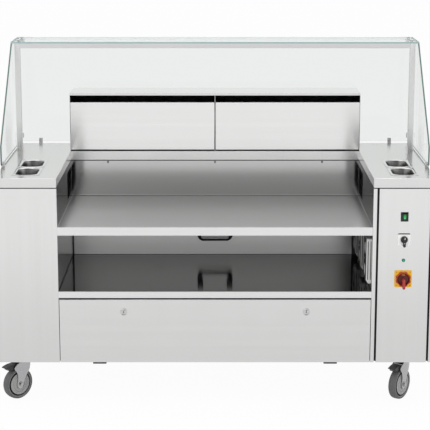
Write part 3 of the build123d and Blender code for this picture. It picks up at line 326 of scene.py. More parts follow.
def fork_section():
    """Stations round the fork from one leg over the crown to the other: y, z, both edges, roll."""
    side = [(leg_middle, height, first, last, 1.0) for height, first, last in leg_stations]
    for angle, first, last in crown_stations:
        across = leg_middle - bend_radius + bend_radius * math.cos(math.radians(angle))
        height = crown_top - bend_radius + bend_radius * math.sin(math.radians(angle))
        side.append((across, height, first, last, 0.0))
    other = [(-across, height, first, last, -roll) for across, height, first, last, roll in reversed(side)]
    return side + [(0.0, crown_top, *crown_middle, 0.0)] + other


corners = ("front_left", "front_right", "rear_left", "rear_right")
for corner in corners:
    swivel = pivots[f"swivel_{corner}"]
    axle = pivots[f"wheel_{corner}_roll"]
    castor_place = Matrix.Translation((swivel.x, swivel.y, 0)) @ heading(swivel, axle)
    axle_place = Matrix.Translation(axle) @ heading(swivel, axle)
    wheel_node = f"castor_wheel_{corner}"
    fork_node = f"castor_fork_{corner}"

    tyre = bmesh.new()
    turn(tyre, mirrored(tyre_half), axle_place, steps=96)
    close_up(tyre)
    # Inside this radius the tyre's bead takes the painted highlight
    second_finish(tyre, lambda spot: (spot - axle).length < bead_reach)
    new_piece(f"castor_tyre_{corner}", tyre, [tyre_rubber, tyre_bead_painted_highlight], f"wheel_{corner}",
              [wheel_node], smooth_below=50)

    core = bmesh.new()
    turn(core, mirrored(core_half), axle_place, steps=72)
    close_up(core)
    # Outside this radius the core's groove takes the painted shade
    second_finish(core, lambda spot: (spot - axle).length > groove_reach)
    new_piece(f"castor_core_{corner}", core, [core_plastic, groove_shade], f"wheel_{corner}",
              [wheel_node], smooth_below=35)

    pressing = bmesh.new()
    rows = []
    for across, height, first, last, roll in fork_section():
        rows.append([
            pressing.verts.new(castor_place @ Vector((
                first + (last - first) * column / sheet_columns, across - roll * leg_roll[column], height
            )))
            for column in range(sheet_columns + 1)
        ])
    for row, after in zip(rows, rows[1:]):
        for i in range(sheet_columns):
            pressing.faces.new((row[i], row[i + 1], after[i + 1], after[i]))
    bmesh.ops.recalc_face_normals(pressing, faces=pressing.faces)
    fork = new_piece(f"castor_pressing_{corner}", pressing, [zinc], f"castor_{corner}",
                     [fork_node], smooth_below=60)
    rounding = fork.modifiers.new("rounding", "SUBSURF")
    rounding.levels = 2
    rounding.render_levels = 2
    thickness = fork.modifiers.new("sheet", "SOLIDIFY")
    thickness.thickness = fork_sheet
    thickness.offset = 0.0

    hardware = bmesh.new()
    upright = castor_place @ Matrix.Rotation(math.radians(90), 4, "X")
    turn(hardware, swivel_head, upright, steps=64)
    for face_turn in (0.0, math.pi):
        side_place = axle_place @ Matrix.Rotation(face_turn, 4, "Z")
        turn(hardware, washer, side_place, steps=40)
        turn(hardware, bolt_head, side_place, steps=6)
    close_up(hardware)
    new_piece(f"castor_hardware_{corner}", hardware, [zinc], f"castor_{corner}",
              [fork_node], smooth_below=35)

# The pedal from the side, about its pin: a round heel, a back that slopes to the toe, and two stops below;
# then a black brake block under the fork's crown, which also darkens the gap between the legs as painted
# shade
pedal_side = arc(0.0, 0.0, 0.0062, 240, 185, 4) + arc(0.0, 0.003, 0.0125, 160, 80, 6) + [
    (0.0180, 0.0146), (0.0330, 0.0108), (0.0430, 0.0072), (0.0440, 0.0052), (0.0425, 0.0040),
    (0.0350, 0.0022), (0.0305, -0.0020), (0.0284, -0.0070), (0.0254, -0.0074), (0.0236, -0.0020),
    (0.0172, -0.0046), (0.0144, -0.0066), (0.0112, -0.0062), (0.0085, -0.0036),
]
pedal_half = 0.0160
brake_side = [
    (0.0140, 0.1400), (0.0380, 0.1400), (0.0440, 0.1440), (0.0460, 0.1500), (0.0400, 0.1548),
    (0.0140, 0.1548),
]
brake_half = 0.0182
pin_outline = mirrored([(0.0, 0.0228), (0.0036, 0.0228), (0.0042, 0.0222)])
for hand in ("left", "right"):
    pivot = pivots[f"pedal_{hand}_press"]
    swivel = pivots[f"swivel_front_{hand}"]
    pivot_place = Matrix.Translation(pivot) @ heading(swivel, pivot)
    brake_place = Matrix.Translation((swivel.x, swivel.y, 0.0)) @ heading(swivel, pivot)
    lever = bmesh.new()
    prism(lever, pedal_side, pivot_place, -pedal_half, pedal_half)
    ease_edges(lever, width=0.0009)
    new_piece(f"pedal_lever_{hand}", lever, [pedal_plastic], f"pedal_{hand}",
              [f"brake_pedal_{hand}"], smooth_below=35)
    pin = bmesh.new()
    turn(pin, pin_outline, pivot_place, steps=20)
    close_up(pin)
    new_piece(f"pedal_pin_{hand}", pin, [zinc], f"pedal_{hand}", [f"brake_pedal_{hand}"],
              smooth_below=35)
    # A black block under the crown: partly the brake, partly painted shade between the fork's legs
    housing = bmesh.new()
    prism(housing, brake_side, brake_place, -brake_half, brake_half)
    ease_edges(housing, width=0.0015)
    new_piece(f"brake_block_painted_shade_{hand}", housing, [pedal_plastic], f"castor_front_{hand}",
              smooth_below=35)

coat(["castor_plates"], zinc)

# Bolt and screw heads
# Small steel fixings hold castor plates, covers and switch plates; each is a cone-sided head
# with a hexagon socket, set on its place and turned to the way that the place faces.
fixing_heads, heads_in, heads_out = new_group(
    "fixing_heads",
    {"Places": "Geometry", "Head Radius": "Float", "Head Height": "Float", "Socket Radius": "Float",
     "Finish": "Material"},
    {"Heads": "Geometry"},
    kind="GeometryNodeTree",
)
head_taper = 0.78
head_cone = place_node(fixing_heads, "GeometryNodeMeshCone", {
    "Vertices": 20,
    "Radius Bottom": heads_in["Head Radius"],
    "Radius Top": reckon(fixing_heads, "MULTIPLY", heads_in["Head Radius"], head_taper),
    "Depth": heads_in["Head Height"],
})
head_socket = place_node(fixing_heads, "GeometryNodeMeshCylinder", {
    "Vertices": 6, "Radius": heads_in["Socket Radius"], "Depth": heads_in["Head Height"],
})
socket_lift = place_node(fixing_heads, "ShaderNodeCombineXYZ", {"Z": heads_in["Head Height"]})
socket_up = place_node(fixing_heads, "GeometryNodeTransform", {
    "Geometry": head_socket.outputs["Mesh"], "Translation": socket_lift.outputs[0],
})
head_cut = place_node(fixing_heads, "GeometryNodeMeshBoolean", {
    "Mesh 1": head_cone.outputs["Mesh"], "Mesh 2": socket_up.outputs["Geometry"],
}, operation="DIFFERENCE")
head_facing = place_node(
    fixing_heads, "GeometryNodeInputNamedAttribute", {"Name": "facing"}, data_type="FLOAT_VECTOR"
)
head_turn = place_node(fixing_heads, "FunctionNodeAlignRotationToVector", {
    "Vector": head_facing.outputs["Attribute"],
}, axis="Z")
head_copies = place_node(fixing_heads, "GeometryNodeInstanceOnPoints", {
    "Points": heads_in["Places"],
    "Instance": head_cut.outputs["Mesh"],
    "Rotation": head_turn.outputs["Rotation"],
})
head_real = place_node(fixing_heads, "GeometryNodeRealizeInstances", {
    "Geometry": head_copies.outputs["Instances"],
})
head_finish = place_node(fixing_heads, "GeometryNodeSetMaterial", {
    "Geometry": head_real.outputs["Geometry"], "Material": heads_in["Finish"],
})
feed(fixing_heads, heads_out, {"Heads": head_finish.outputs["Geometry"]})


def fixings(name, places, facing, finish, body, radius, height, socket_radius):
    """Heads at a list of places that face one way."""
    mesh = bpy.data.meshes.new(name)
    mesh.from_pydata([tuple(place) for place in places], [], [])
    ways = mesh.attributes.new("facing", "FLOAT_VECTOR", "POINT")
    for way in ways.data:
        way.vector = facing
    piece = shown(name, mesh)
    heads = piece.modifiers.new("heads", "NODES")
    heads.node_group = fixing_heads
    values = {
        "Head Radius": radius, "Head Height": height, "Socket Radius": socket_radius, "Finish": finish
    }
    for socket in fixing_heads.interface.items_tree:
        if socket.name in values:
            heads[socket.identifier] = values[socket.name]
    made = piece.evaluated_get(bpy.context.evaluated_depsgraph_get())
    solid = bpy.data.meshes.new_from_object(made)
    piece.modifiers.remove(heads)
    piece.data = solid
    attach(piece, body)


plate_bottom = 0.1665
bolt_grid = [(x, y) for x in (-0.040, 0.040) for y in (-0.030, 0.030)]
plate_bolts = [
    pivots[f"swivel_{corner}"].xy.to_3d() + Vector((x, y, plate_bottom))
    for corner in corners
    for x, y in bolt_grid
]
fixings("castor_plate_bolts", plate_bolts, (0, 0, -1), zinc, "root",
        radius=0.0068, height=0.0050, socket_radius=0.0030)

# Base pan, gland and tabs
# A folded tray of the same stainless sheet carries the walls; a plastic gland waits for the
# mains lead, and two black plastic tabs hold the lower edge of the front panel.
brushed_grain, grain_in, grain_out = new_group(
    "brushed_grain",
    {"Base": "Color", "Stretch": "Vector", "Streaks": "Float", "Gloss": "Float", "Wiping": "Float",
     "Buckle": "Float"},
    {"Color": "Color", "Roughness": "Float", "Height": "Float"},
)
grain_place = place_node(brushed_grain, "ShaderNodeTexCoord").outputs["Object"]
grain_lines = reckon(
    brushed_grain, "MULTIPLY", grain_place, grain_in["Stretch"], kind="ShaderNodeVectorMath"
)
wide_part = 0.07
wide_place = scaled(brushed_grain, grain_lines, wide_part)
fine_lines = noise(brushed_grain, grain_lines, scale=1.0, detail=3.0)
wide_lines = noise(brushed_grain, wide_place, scale=1.0, detail=2.0)
wiping_marks = noise(brushed_grain, grain_place, scale=5.0, detail=4.0, distortion=1.5)
sheet_swell = noise(brushed_grain, grain_place, scale=3.2, detail=1.0)
mean_lines = reckon(brushed_grain, "MULTIPLY", reckon(brushed_grain, "ADD", fine_lines, wide_lines), 0.5)
grain_shade = spread_about(brushed_grain, 1.0, grain_in["Streaks"], mean_lines)
feed(brushed_grain, grain_out, {
    "Color": scaled(brushed_grain, grain_in["Base"], grain_shade),
    "Roughness": spread_about(brushed_grain, grain_in["Gloss"], grain_in["Wiping"], wiping_marks),
    "Height": reckon(brushed_grain, "MULTIPLY_ADD", sheet_swell, grain_in["Buckle"], fine_lines),
})

x_axis, y_axis, z_axis = range(3)
steel_colour = (0.775, 0.775, 0.77)
grain_fineness = 700.0
grain_length = 2.5
grain_depth = 0.0000012
grain_blur = 0.85
# Small slants keep the grain's direction from vanishing on faces that are square to it
grain_slants = (0.013, 0.017, 0.011)


# Painted light level scales a steel's colour: below 1 it paints shade, above 1 it paints light, so each
# use is a darker or lighter copy of one sheet
def brushed_steel(
    name, along, roughness=0.23, streaks=0.10, wiping=0.07, buckle=40.0, painted_light_level=1.0, edge=1.0
):
    """Ground stainless sheet whose fine lines run along one axis; it blurs across them.

    Edge is the share of light that the ground lines still mirror at a glancing angle.
    """
    material, tree, shader = start_finish(name, 1.0)
    colour = [painted_light_level * channel for channel in steel_colour]
    stretch = [grain_fineness] * 3
    stretch[along] = grain_length
    grain_axis = list(grain_slants)
    grain_axis[along] = 1.0
    normal = place_node(tree, "ShaderNodeNewGeometry").outputs["Normal"]
    across = reckon(tree, "CROSS_PRODUCT", normal, grain_axis, kind="ShaderNodeVectorMath")
    feed(tree, shader, {
        "Anisotropic": grain_blur, "Specular Tint": (edge, edge, edge, 1.0), "Tangent": across
    })
    values = {"Base": (*colour, 1.0), "Stretch": stretch, "Streaks": streaks, "Gloss": roughness,
              "Wiping": wiping, "Buckle": buckle}
    lay_on(tree, shader, brushed_grain, values, strength=1.0, depth=grain_depth)
    return material


def merged_copy(node):
    """A CAD node's surface with its doubled points merged and its flat faces joined."""
    shape = bmesh.new()
    shape.from_mesh(nodes[node].data)
    bmesh.ops.remove_doubles(shape, verts=shape.verts, dist=2e-6)
    bmesh.ops.dissolve_limit(
        shape, angle_limit=math.radians(0.5), verts=shape.verts[:], edges=shape.edges[:]
    )
    return shape


def softened(name, node, finishes, edge=0.0005, cuts=(), pick=None):
    """A copy of a CAD node's surface with its hard edges broken by a small bevel.

    Cuts are planes that divide its faces, by axis and place; pick gives the number of a face's finish.
    """
    shape = merged_copy(node)
    ease_edges(shape, edge, sharp=50.0)
    for axis, place in cuts:
        way = Vector((0.0, 0.0, 0.0))
        way[axis] = 1.0
        everything = shape.verts[:] + shape.edges[:] + shape.faces[:]
        bmesh.ops.bisect_plane(shape, geom=everything, plane_co=place * way, plane_no=way)
    shape.normal_update()
    for face in shape.faces:
        face.material_index = int(pick(face.calc_center_median(), face.normal)) if pick else 0
    return new_piece(name, shape, finishes, nodes[node]["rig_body"], [node])


steel_across = brushed_steel("steel_grain_across", x_axis)
steel_upright = brushed_steel("steel_grain_upright", z_axis)
gland_plastic = skinned("gland_plastic", (0.50, 0.51, 0.52), 0.5, 160)
coat(["base_pan"], steel_across)
coat(["cable_gland"], gland_plastic)
softened("tab_blocks", "panel_tabs", [black_plastic], edge=0.0008)

# Columns and rear panel
# Folded stainless sheet, 1.5 mm thick, its grain upright: the left column's side and front are
# one bend, the right column has narrow strips with dark slits beside the control panel.
# Painted shadow: these two near-black finishes darken slits, gaps and seams, and the line under the
# worktop's skirt
seam_shadow = skinned("seam_shadow", (0.010, 0.010, 0.010), 0.8, 200, shade=0.3)
slit_shadow = skinned("slit_shadow", (0.055, 0.055, 0.055), 0.8, 200, shade=0.2)
# Painted shade: the inner sides of the bay are darker copies of the steel, also dimmer at glancing angles
# above the upper shelf
inner_steel = brushed_steel("steel_inner_side_painted_shade", z_axis, roughness=0.15, painted_light_level=0.50, edge=0.44)
lower_side_steel = brushed_steel("steel_lower_side_painted_shade", z_axis, roughness=0.20, painted_light_level=0.60)
front_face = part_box("control_panel")[0].y
panel_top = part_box("control_panel")[1].z
bay_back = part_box("bay_rear_wall")[0].y
shelf_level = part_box("upper_shelf")[1].z
fold_depth = 0.002
strip_depth = 0.019
strip_from = 0.610
strip_to = 0.840
skirt_shade = 0.0008
skirt_line = panel_top - skirt_shade
# How much of a face's normal lies along an axis when the face counts as turned that way
mostly = 0.5


def sheet(node, finishes, cuts=(), pick=None):
    """A node of folded sheet with its edges broken."""
    return softened(f"{node}_sheet", node, finishes, cuts=cuts, pick=pick)


def upper_edge(centre, normal):
    """True along the cut edge just under the worktop's skirt, where a shadow line is painted."""
    return centre.z > skirt_line


def slit_side(centre, normal):
    """True behind and beside the slits of a front, and on its upper edge, where shadow is painted."""
    recessed = centre.y > front_face + fold_depth and (normal.y < -mostly or abs(normal.x) > mostly)
    return recessed or upper_edge(centre, normal)


def strip_side(centre, normal):
    """True on the edge of a column's narrow front strip, which the slit shows, and on its upper edge,
    where shadow is painted.
    """
    folded = front_face + fold_depth < centre.y < front_face + strip_depth
    beside = folded and abs(normal.x) > mostly and strip_from < abs(centre.x) < strip_to
    return beside or (centre.y < front_face + fold_depth and upper_edge(centre, normal))


def inner_side(centre, normal):
    """1 where shadow is painted: on dark edges and in the seam at the back; 2 on the front strip, 3 below
    the upper shelf.
    """
    if strip_side(centre, normal) or (normal.y < -mostly and centre.y > bay_back):
        return 1
    if normal.y < -mostly or centre.y < front_face + fold_depth:
        return 2
    return 3 if centre.z < shelf_level else 0


for node, pick in (
    ("left_cabinet", upper_edge), ("control_panel", slit_side), ("right_outer_side", strip_side)
):
    sheet(node, [steel_upright, slit_shadow], [(z_axis, skirt_line)], pick)
for node in ("left_inner_side", "right_inner_side"):
    sheet(node, [inner_steel, slit_shadow, steel_upright, lower_side_steel],
          [(z_axis, shelf_level), (z_axis, skirt_line)], inner_side)
sheet("rear_panel", [steel_across])

# Shelves and bay rear wall
# Folded plates between the inner sides, ground along their length, so that what stands on
# them is mirrored as long soft streaks; three round-headed screws hold the rear wall.
# Painted shade and light: the shelves are darker copies of the steel, the lower one also dimmer at
# glancing angles; the lips are a lighter copy, the upper shelf's sides a painted highlight and the lower
# shelf's sides painted shadow
shelf_steel = brushed_steel("steel_shelf", x_axis, roughness=0.29, wiping=0.0, painted_light_level=0.84)
lower_steel = brushed_steel("steel_lower_shelf_painted_shade", x_axis, roughness=0.08, wiping=0.0, painted_light_level=0.40, edge=0.6)
lip_steel = brushed_steel("steel_shelf_lip", x_axis, painted_light_level=1.08)
side_highlight_steel = brushed_steel("steel_shelf_side_painted_highlight", x_axis, roughness=0.30, wiping=0.0, painted_light_level=1.30)
wall_steel = brushed_steel("steel_bay_wall", x_axis, roughness=0.12, wiping=0.0, painted_light_level=0.71)
wall_highlight_steel = brushed_steel("steel_wall_painted_highlight", x_axis, roughness=0.12, wiping=0.0, painted_light_level=0.90)
screw_steel = skinned("screw_steel", (0.20, 0.20, 0.20), 0.35, 150, shade=0.1, metallic=1.0)
shelf_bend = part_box("upper_shelf")[1].x - 0.003
# Painted on the bay's rear wall, itself a darker copy of the steel: a shadow line in the seam on the shelf
# and under the bridge's lip, and a highlight just above the seam
seam_top = shelf_level + 0.0022
highlight_top = shelf_level + 0.0085
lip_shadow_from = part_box("worktop")[0].z - 0.004
# How much of its normal points up where a face is still level
level = 0.7


def shelf_lip(centre, normal):
    """1 on the folded front lip of a shelf, 2 along its sides, the band that takes a painted highlight on
    the upper shelf and painted shadow on the lower.
    """
    if centre.y < front_face + strip_depth and normal.z < level:
        return 1
    return 2 if abs(centre.x) > shelf_bend else 0


def wall_band(centre, normal):
    """1 where shadow is painted, under the bridge's lip and in the seam on the shelf; 2 on the band just
    above the seam, where a highlight is painted.
    """
    if centre.z > lip_shadow_from or centre.z < seam_top:
        return 1
    return 2 if centre.z < highlight_top else 0


bend_cuts = [(x_axis, -shelf_bend), (x_axis, shelf_bend)]
sheet("upper_shelf", [shelf_steel, lip_steel, side_highlight_steel], bend_cuts, shelf_lip)
sheet("lower_shelf", [lower_steel, lip_steel, slit_shadow], bend_cuts, shelf_lip)
sheet("bay_rear_wall", [wall_steel, slit_shadow, wall_highlight_steel],
      [(z_axis, height) for height in (seam_top, highlight_top, lip_shadow_from)], wall_band)
coat(["wall_screws"], screw_steel)

# Worktop
# One folded cap of sheet over both columns and the rear bridge, with its skirt turned down and
# its edges lightly broken by the folding tool.
# Painted shade: the worktop's level top is a darker copy of the steel than its skirt
worktop_steel = brushed_steel("steel_worktop", x_axis, wiping=0.03, painted_light_level=0.86)
sheet("worktop", [steel_across, worktop_steel], pick=lambda centre, normal: normal.z > level)

# Food pans
# Small deep-drawn catering pans, two in line on each column: a flat rim with its edge turned
# down rests on the worktop, and polished walls taper to a rounded floor.
pan_rim = skinned("pan_rim", (0.62, 0.62, 0.615), 0.16, 40, shade=0.08, spread=0.1, metallic=1.0)
# Painted shade: the inside of a pan is a darker copy of the rim's steel
pan_inside_painted_shade = skinned("pan_inside_painted_shade", (0.27, 0.27, 0.268), 0.22, 40, shade=0.1, spread=0.1, metallic=1.0)
pan_sheet = 0.0008
rim_rings = 5
# From the rim's edge to the floor: inset from the rim, corner radius and drop below its top
pan_rings = [
    (0.0000, 0.0140, 0.0010), (0.0000, 0.0140, 0.0004), (0.0004, 0.0138, 0.0000),
    (0.0080, 0.0340, 0.0000), (0.0106, 0.0360, 0.0008), (0.0122, 0.0365, 0.0026),
    (0.0131, 0.0365, 0.0060), (0.0176, 0.0330, 0.0900), (0.0190, 0.0310, 0.0952),
    (0.0225, 0.0270, 0.0982), (0.0280, 0.0200, 0.0990),
]


def rounded_ring(shape, low, high, inset, corner, height):
    """Points round a rectangle with rounded corners, inset from the box between two corners."""
    right, far = high.x - inset - corner, high.y - inset - corner
    left, near = low.x + inset + corner, low.y + inset + corner
    ring = []
    for quarter, (x, y) in enumerate(((right, far), (left, far), (left, near), (right, near))):
        start = 90 * quarter
        ring += [shape.verts.new((*point, height)) for point in arc(x, y, corner, start, start + 90, 6)]
    return ring


for pan in ("left_front", "left_rear", "right_front", "right_rear"):
    low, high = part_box(f"pan_{pan}")
    drawn = bmesh.new()
    rings = [
        rounded_ring(drawn, low, high, inset, corner, high.z - drop) for inset, corner, drop in pan_rings
    ]
    rim_faces = rim_rings * len(rings[0])
    for number, face in enumerate(skin_rings(drawn, rings)):
        face.material_index = 0 if number < rim_faces else 1
    drawn.faces.new(rings[-1]).material_index = 1
    piece = new_piece(f"pan_{pan}_drawn", drawn, [pan_rim, pan_inside_painted_shade], f"pan_{pan}",
                      [f"pan_{pan}"], smooth_below=40)
    wall = piece.modifiers.new("wall", "SOLIDIFY")
    wall.thickness = pan_sheet
    wall.offset = -1.0

# Front panel and its locks
# A folded tray that comes out forwards, held by two quarter-turn locks: turned steel flanges with a ring
# groove, a bright barrel and a keyhole drawn as a small disc painted with shadow, and a flat cam behind
# the sheet.
satin_steel = skinned("satin_steel", (0.66, 0.66, 0.655), 0.26, 150, shade=0.08, spread=0.1, metallic=1.0)
# The gaps beside the tray show its narrow sides, which are painted with shadow
sheet("front_panel", [steel_across, seam_shadow],
      pick=lambda centre, normal: abs(normal.x) > mostly and centre.y > front_face + fold_depth)
# Radius and depth of a lock's outline from the sheet's face, towards the room
lock_flange = [
    (0.0, -0.0024), (0.0072, -0.0028), (0.0082, -0.0022), (0.0084, -0.0010), (0.0100, -0.0010),
    (0.0102, -0.0026), (0.0126, -0.0032), (0.0139, -0.0024), (0.0143, -0.0010), (0.0143, -0.0003),
    (0.0090, -0.0003), (0.0090, 0.0183), (0.0, 0.0183),
]
lock_keyhole = [(0.0, -0.0032), (0.0020, -0.0032), (0.0026, -0.0026), (0.0026, -0.0016), (0.0, -0.0016)]
cam_half = 0.007
cam_reach = 0.072
cam_side = arc(0.0, 0.0, cam_half, 90, 270) + [(cam_reach, -cam_half), (cam_reach, cam_half)]
for hand, inward in (("left", 1), ("right", -1)):
    lock_middle = pivots[f"{hand}_lock_turn"]
    lock_place = Matrix.Translation((lock_middle.x, front_face, lock_middle.z))
    flange = bmesh.new()
    turn(flange, lock_flange, lock_place, steps=48)
    prism(flange, [(inward * x, z) for x, z in cam_side], lock_place, near=0.0184, far=0.0213)
    close_up(flange)
    new_piece(f"{hand}_lock_flange", flange, [satin_steel], f"{hand}_lock", [f"{hand}_lock"],
              smooth_below=40)
    # The keyhole is a small disc coloured with painted shadow
    keyhole = bmesh.new()
    turn(keyhole, lock_keyhole, lock_place, steps=24)
    close_up(keyhole)
    new_piece(f"{hand}_lock_keyhole", keyhole, [seam_shadow], f"{hand}_lock", smooth_below=40)

# Duct panel and bow handle
# A folded plate closes the duct at the back of the lower compartment; a bow of black plastic,
# whose legs rise and widen towards the plate, is screwed to it from behind, to pull it out.
# Painted light and shadow: the duct panel is a lighter copy of the steel, with a shadow line painted along
# its foot
duct_steel = brushed_steel("steel_duct_panel", x_axis, roughness=0.30, wiping=0.0, painted_light_level=1.27)
handle_black = skinned("handle_black", (0.008, 0.008, 0.008), 0.6, 200, shade=0.2)
duct_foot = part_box("duct_panel")[0].z + 0.0010
sheet("duct_panel", [duct_steel, slit_shadow], [(z_axis, duct_foot)],
      lambda centre, normal: centre.z < duct_foot)
handle_low, handle_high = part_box("duct_handle")
rod_half = 0.0045
bow_bend = 0.022
bow_lift = 0.076
foot_half = 0.0120
flare_share = 0.4
bow_reach = handle_high.y - handle_low.y - rod_half
leg_length = math.hypot(bow_reach, bow_lift)
leg_way = Vector((0.0, bow_reach, bow_lift)) / leg_length
bow_thick = leg_way.cross(Vector((1, 0, 0)))
bow_middle = Vector((0.0, handle_low.y + rod_half, handle_low.z + rod_half))
bow_side = handle_high.x - rod_half
# The bow's middle line in its own plane, from one foot round to the other: across and up the leg
bow_line = [(-bow_side, share * leg_length) for share in (1.0, 0.75, 0.5)]
bow_line += arc(-bow_side + bow_bend, bow_bend, bow_bend, 180, 270, 8)
bow_line += [(-x, up) for x, up in reversed(bow_line)]
rod_round = arc(0.0, 0.0, 1.0, 0, 337.5, 15)
bow = bmesh.new()
bow_rings = []
for number, (x, up) in enumerate(bow_line):
    before = Vector(bow_line[max(number - 1, 0)])
    after = Vector(bow_line[min(number + 1, len(bow_line) - 1)])
    along = (after - before).normalized()
    inner_half = rod_half + (foot_half - rod_half) * min(up / (flare_share * leg_length), 1.0)
    ring = []
    for wide, tall in rod_round:
        reach = wide * (2 * inner_half - rod_half if wide > 0 else rod_half)
        spot = bow_middle + Vector((x - along.y * reach, 0, 0)) + (up + along.x * reach) * leg_way
        spot += tall * rod_half * bow_thick
        spot.y = min(spot.y, handle_high.y)
        ring.append(bow.verts.new(spot))
    bow_rings.append(ring)
skin_rings(bow, bow_rings)
for ring in (bow_rings[0], bow_rings[-1]):
    bow.faces.new(ring)
close_up(bow)
new_piece("duct_handle_bow", bow, [handle_black], nodes["duct_handle"]["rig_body"],
          ["duct_handle"], smooth_below=40)

# Socket outlets
# Three surface-mounted units on the right wall: light grey moulded boxes in two halves, sloping at the
# foot, with two round black inserts in each; the two joints round each unit are painted with shade, and
# its flat cover is dark.
socket_plastic = skinned("socket_plastic", (0.55, 0.55, 0.545), 0.45, 160)
socket_black_and_painted_shade = skinned("socket_black_and_painted_shade", (0.007, 0.007, 0.007), 0.45, 200, shade=0.2)
socket_black_and_painted_shade.node_tree.nodes["Principled BSDF"].inputs["Specular IOR Level"].default_value = 0.08
unit_low, unit_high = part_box("socket_housings")
joint_planes = [unit_low.x + depth for depth in (0.0055, 0.0085, 0.0160, 0.0190)]
foot_height = 0.016
foot_slope = 0.009
foot_top = unit_low.z + foot_height
joint_end = unit_high.z - 0.010
# How much of its normal points at the room where a face belongs to a unit's flat cover
flat_on = 0.9


def socket_shade_and_cover(centre, normal):
    """The two joints round a unit, painted with shade, and its flat cover, which is dark."""
    first = joint_planes[0] < centre.x < joint_planes[1]
    second = joint_planes[2] < centre.x < joint_planes[3]
    cover = normal.x < -flat_on and centre.z > foot_top
    return cover or (foot_top < centre.z < joint_end and abs(normal.x) < mostly and (first or second))


socket_cuts = [(x_axis, plane) for plane in joint_planes] + [(z_axis, foot_top), (z_axis, joint_end)]
housings = softened("socket_units", "socket_housings", [socket_plastic, socket_black_and_painted_shade],
                    edge=0.0010, cuts=socket_cuts, pick=socket_shade_and_cover)
for point in housings.data.vertices:
    below = max(foot_top - point.co.z, 0.0) / foot_height
    forward = (unit_high.x - point.co.x) / (unit_high.x - unit_low.x)
    point.co.x += foot_slope * below * forward
coat(["socket_faces"], socket_black_and_painted_shade)
unit_count = 3
unit_length = 0.105
screw_lift = 0.0002
unit_pitch = (unit_high.y - unit_low.y - unit_length) / (unit_count - 1)
unit_middle = (unit_low.z + unit_high.z) / 2
cover_screws = [
    (unit_low.x - screw_lift, unit_low.y + unit_length / 2 + unit * unit_pitch, unit_middle)
    for unit in range(unit_count)
]
fixings("socket_cover_screws", cover_screws, (-1, 0, 0), zinc, "root",
        radius=0.0035, height=0.0015, socket_radius=0.0016)

# Controls
# Panel devices in moulded plastic: a lit rocker in a black bezel, a fan switch with a white
# plate, a green signal lamp, and a main switch with a red handle on a yellow plate.
white_plastic = skinned("switch_white", (0.92, 0.92, 0.91), 0.35, 200, shade=0.05)
yellow_plastic = skinned("switch_yellow", (0.90, 0.50, 0.004), 0.34, 180, shade=0.1)
red_plastic = skinned("switch_red", (0.40, 0.036, 0.028), 0.34, 180, shade=0.12)
# Painted shade: the bowl of the collar is a darker copy of the handle's red
bowl_red = skinned("switch_bowl_painted_shade", (0.11, 0.008, 0.006), 0.40, 180, shade=0.15)
tan_plastic = skinned("switch_tan", (0.50, 0.25, 0.030), 0.45, 180)


def ramp(tree, value, span, levels):
    """A smooth step from one level to another while a value crosses a span."""
    inputs = {"Value": value, "From Min": span[0], "From Max": span[1]}
    inputs.update({"To Min": levels[0], "To Max": levels[1]})
    return place_node(tree, "ShaderNodeMapRange", inputs, interpolation_type="SMOOTHSTEP").outputs[0]


def lit_plastic(name, rim, layers, strength):
    """Clear coloured plastic with a lamp behind: each layer is a soft spot on the one before."""
    material = skinned(name, rim, 0.22, 300, shade=0.06)
    tree = material.node_tree
    skin = next(node for node in tree.nodes if node.type == "GROUP")
    place = place_node(tree, "ShaderNodeTexCoord").outputs["Object"]
    colour = (*rim, 1.0)
    for middle, reach, spot_colour in layers:
        shift = reckon(tree, "SUBTRACT", place, middle, kind="ShaderNodeVectorMath")
        shrink = reckon(tree, "DIVIDE", shift, reach, kind="ShaderNodeVectorMath")
        length = place_node(tree, "ShaderNodeVectorMath", {0: shrink}, operation="LENGTH")
        fade = ramp(tree, length.outputs["Value"], (0.0, 1.0), (1.0, 0.0))
        spot = {0: fade, 6: colour, 7: (*spot_colour, 1.0)}
        colour = place_node(tree, "ShaderNodeMix", spot, data_type="RGBA").outputs[2]
    feed(tree, skin, {"Base": colour})
    feed(tree, tree.nodes["Principled BSDF"], {
        "Emission Color": skin.outputs["Color"], "Emission Strength": strength
    })
    return material


rocker_middle = pivots["rocker_tip"]
lit_green = lit_plastic(
    "lit_green", (0.0, 0.014, 0.004),
    [(rocker_middle + Vector((0.001, 0, 0.001)), (0.0080, 0.05, 0.0130), (0.008, 0.34, 0.055)),
     (rocker_middle + Vector((0.001, 0, -0.0055)), (0.0050, 0.05, 0.0055), (0.12, 0.55, 0.30))],
    strength=0.55,
)
softened("rocker_bezel", "rocker_frame", [black_plastic], edge=0.0004)
coat(["rocker"], lit_green)

fan_middle = pivots["fan_knob_turn"]
fan_place = Matrix.Translation((fan_middle.x, front_face, fan_middle.z))
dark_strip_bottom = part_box("fan_switch")[1].z - 0.0036
# Black: the body behind the sheet, and a strip along the plate's upper edge
softened("fan_switch_plate", "fan_switch", [white_plastic, black_plastic], edge=0.0003,
         cuts=[(z_axis, dark_strip_bottom)],
         pick=lambda centre, normal: centre.y > front_face or centre.z > dark_strip_bottom)
knob_body = [
    (0.0, -0.0128), (0.0085, -0.0127), (0.0118, -0.0118), (0.0134, -0.0098), (0.0139, -0.0044),
    (0.0139, -0.0034), (0.0, -0.0034),
]
knob_lobe = arc(0.0, 0.0078, 0.0046, 0, 180) + arc(0.0, -0.0218, 0.0056, 145, 395, 16)
knob = bmesh.new()
prism(knob, knob_lobe, fan_place, near=-0.0203, far=-0.0060)
ease_edges(knob, width=0.0012)
turn(knob, knob_body, fan_place, steps=48)
close_up(knob)
new_piece("fan_knob_moulding", knob, [black_plastic], "fan_knob", ["fan_switch_knob"],
          smooth_below=35)
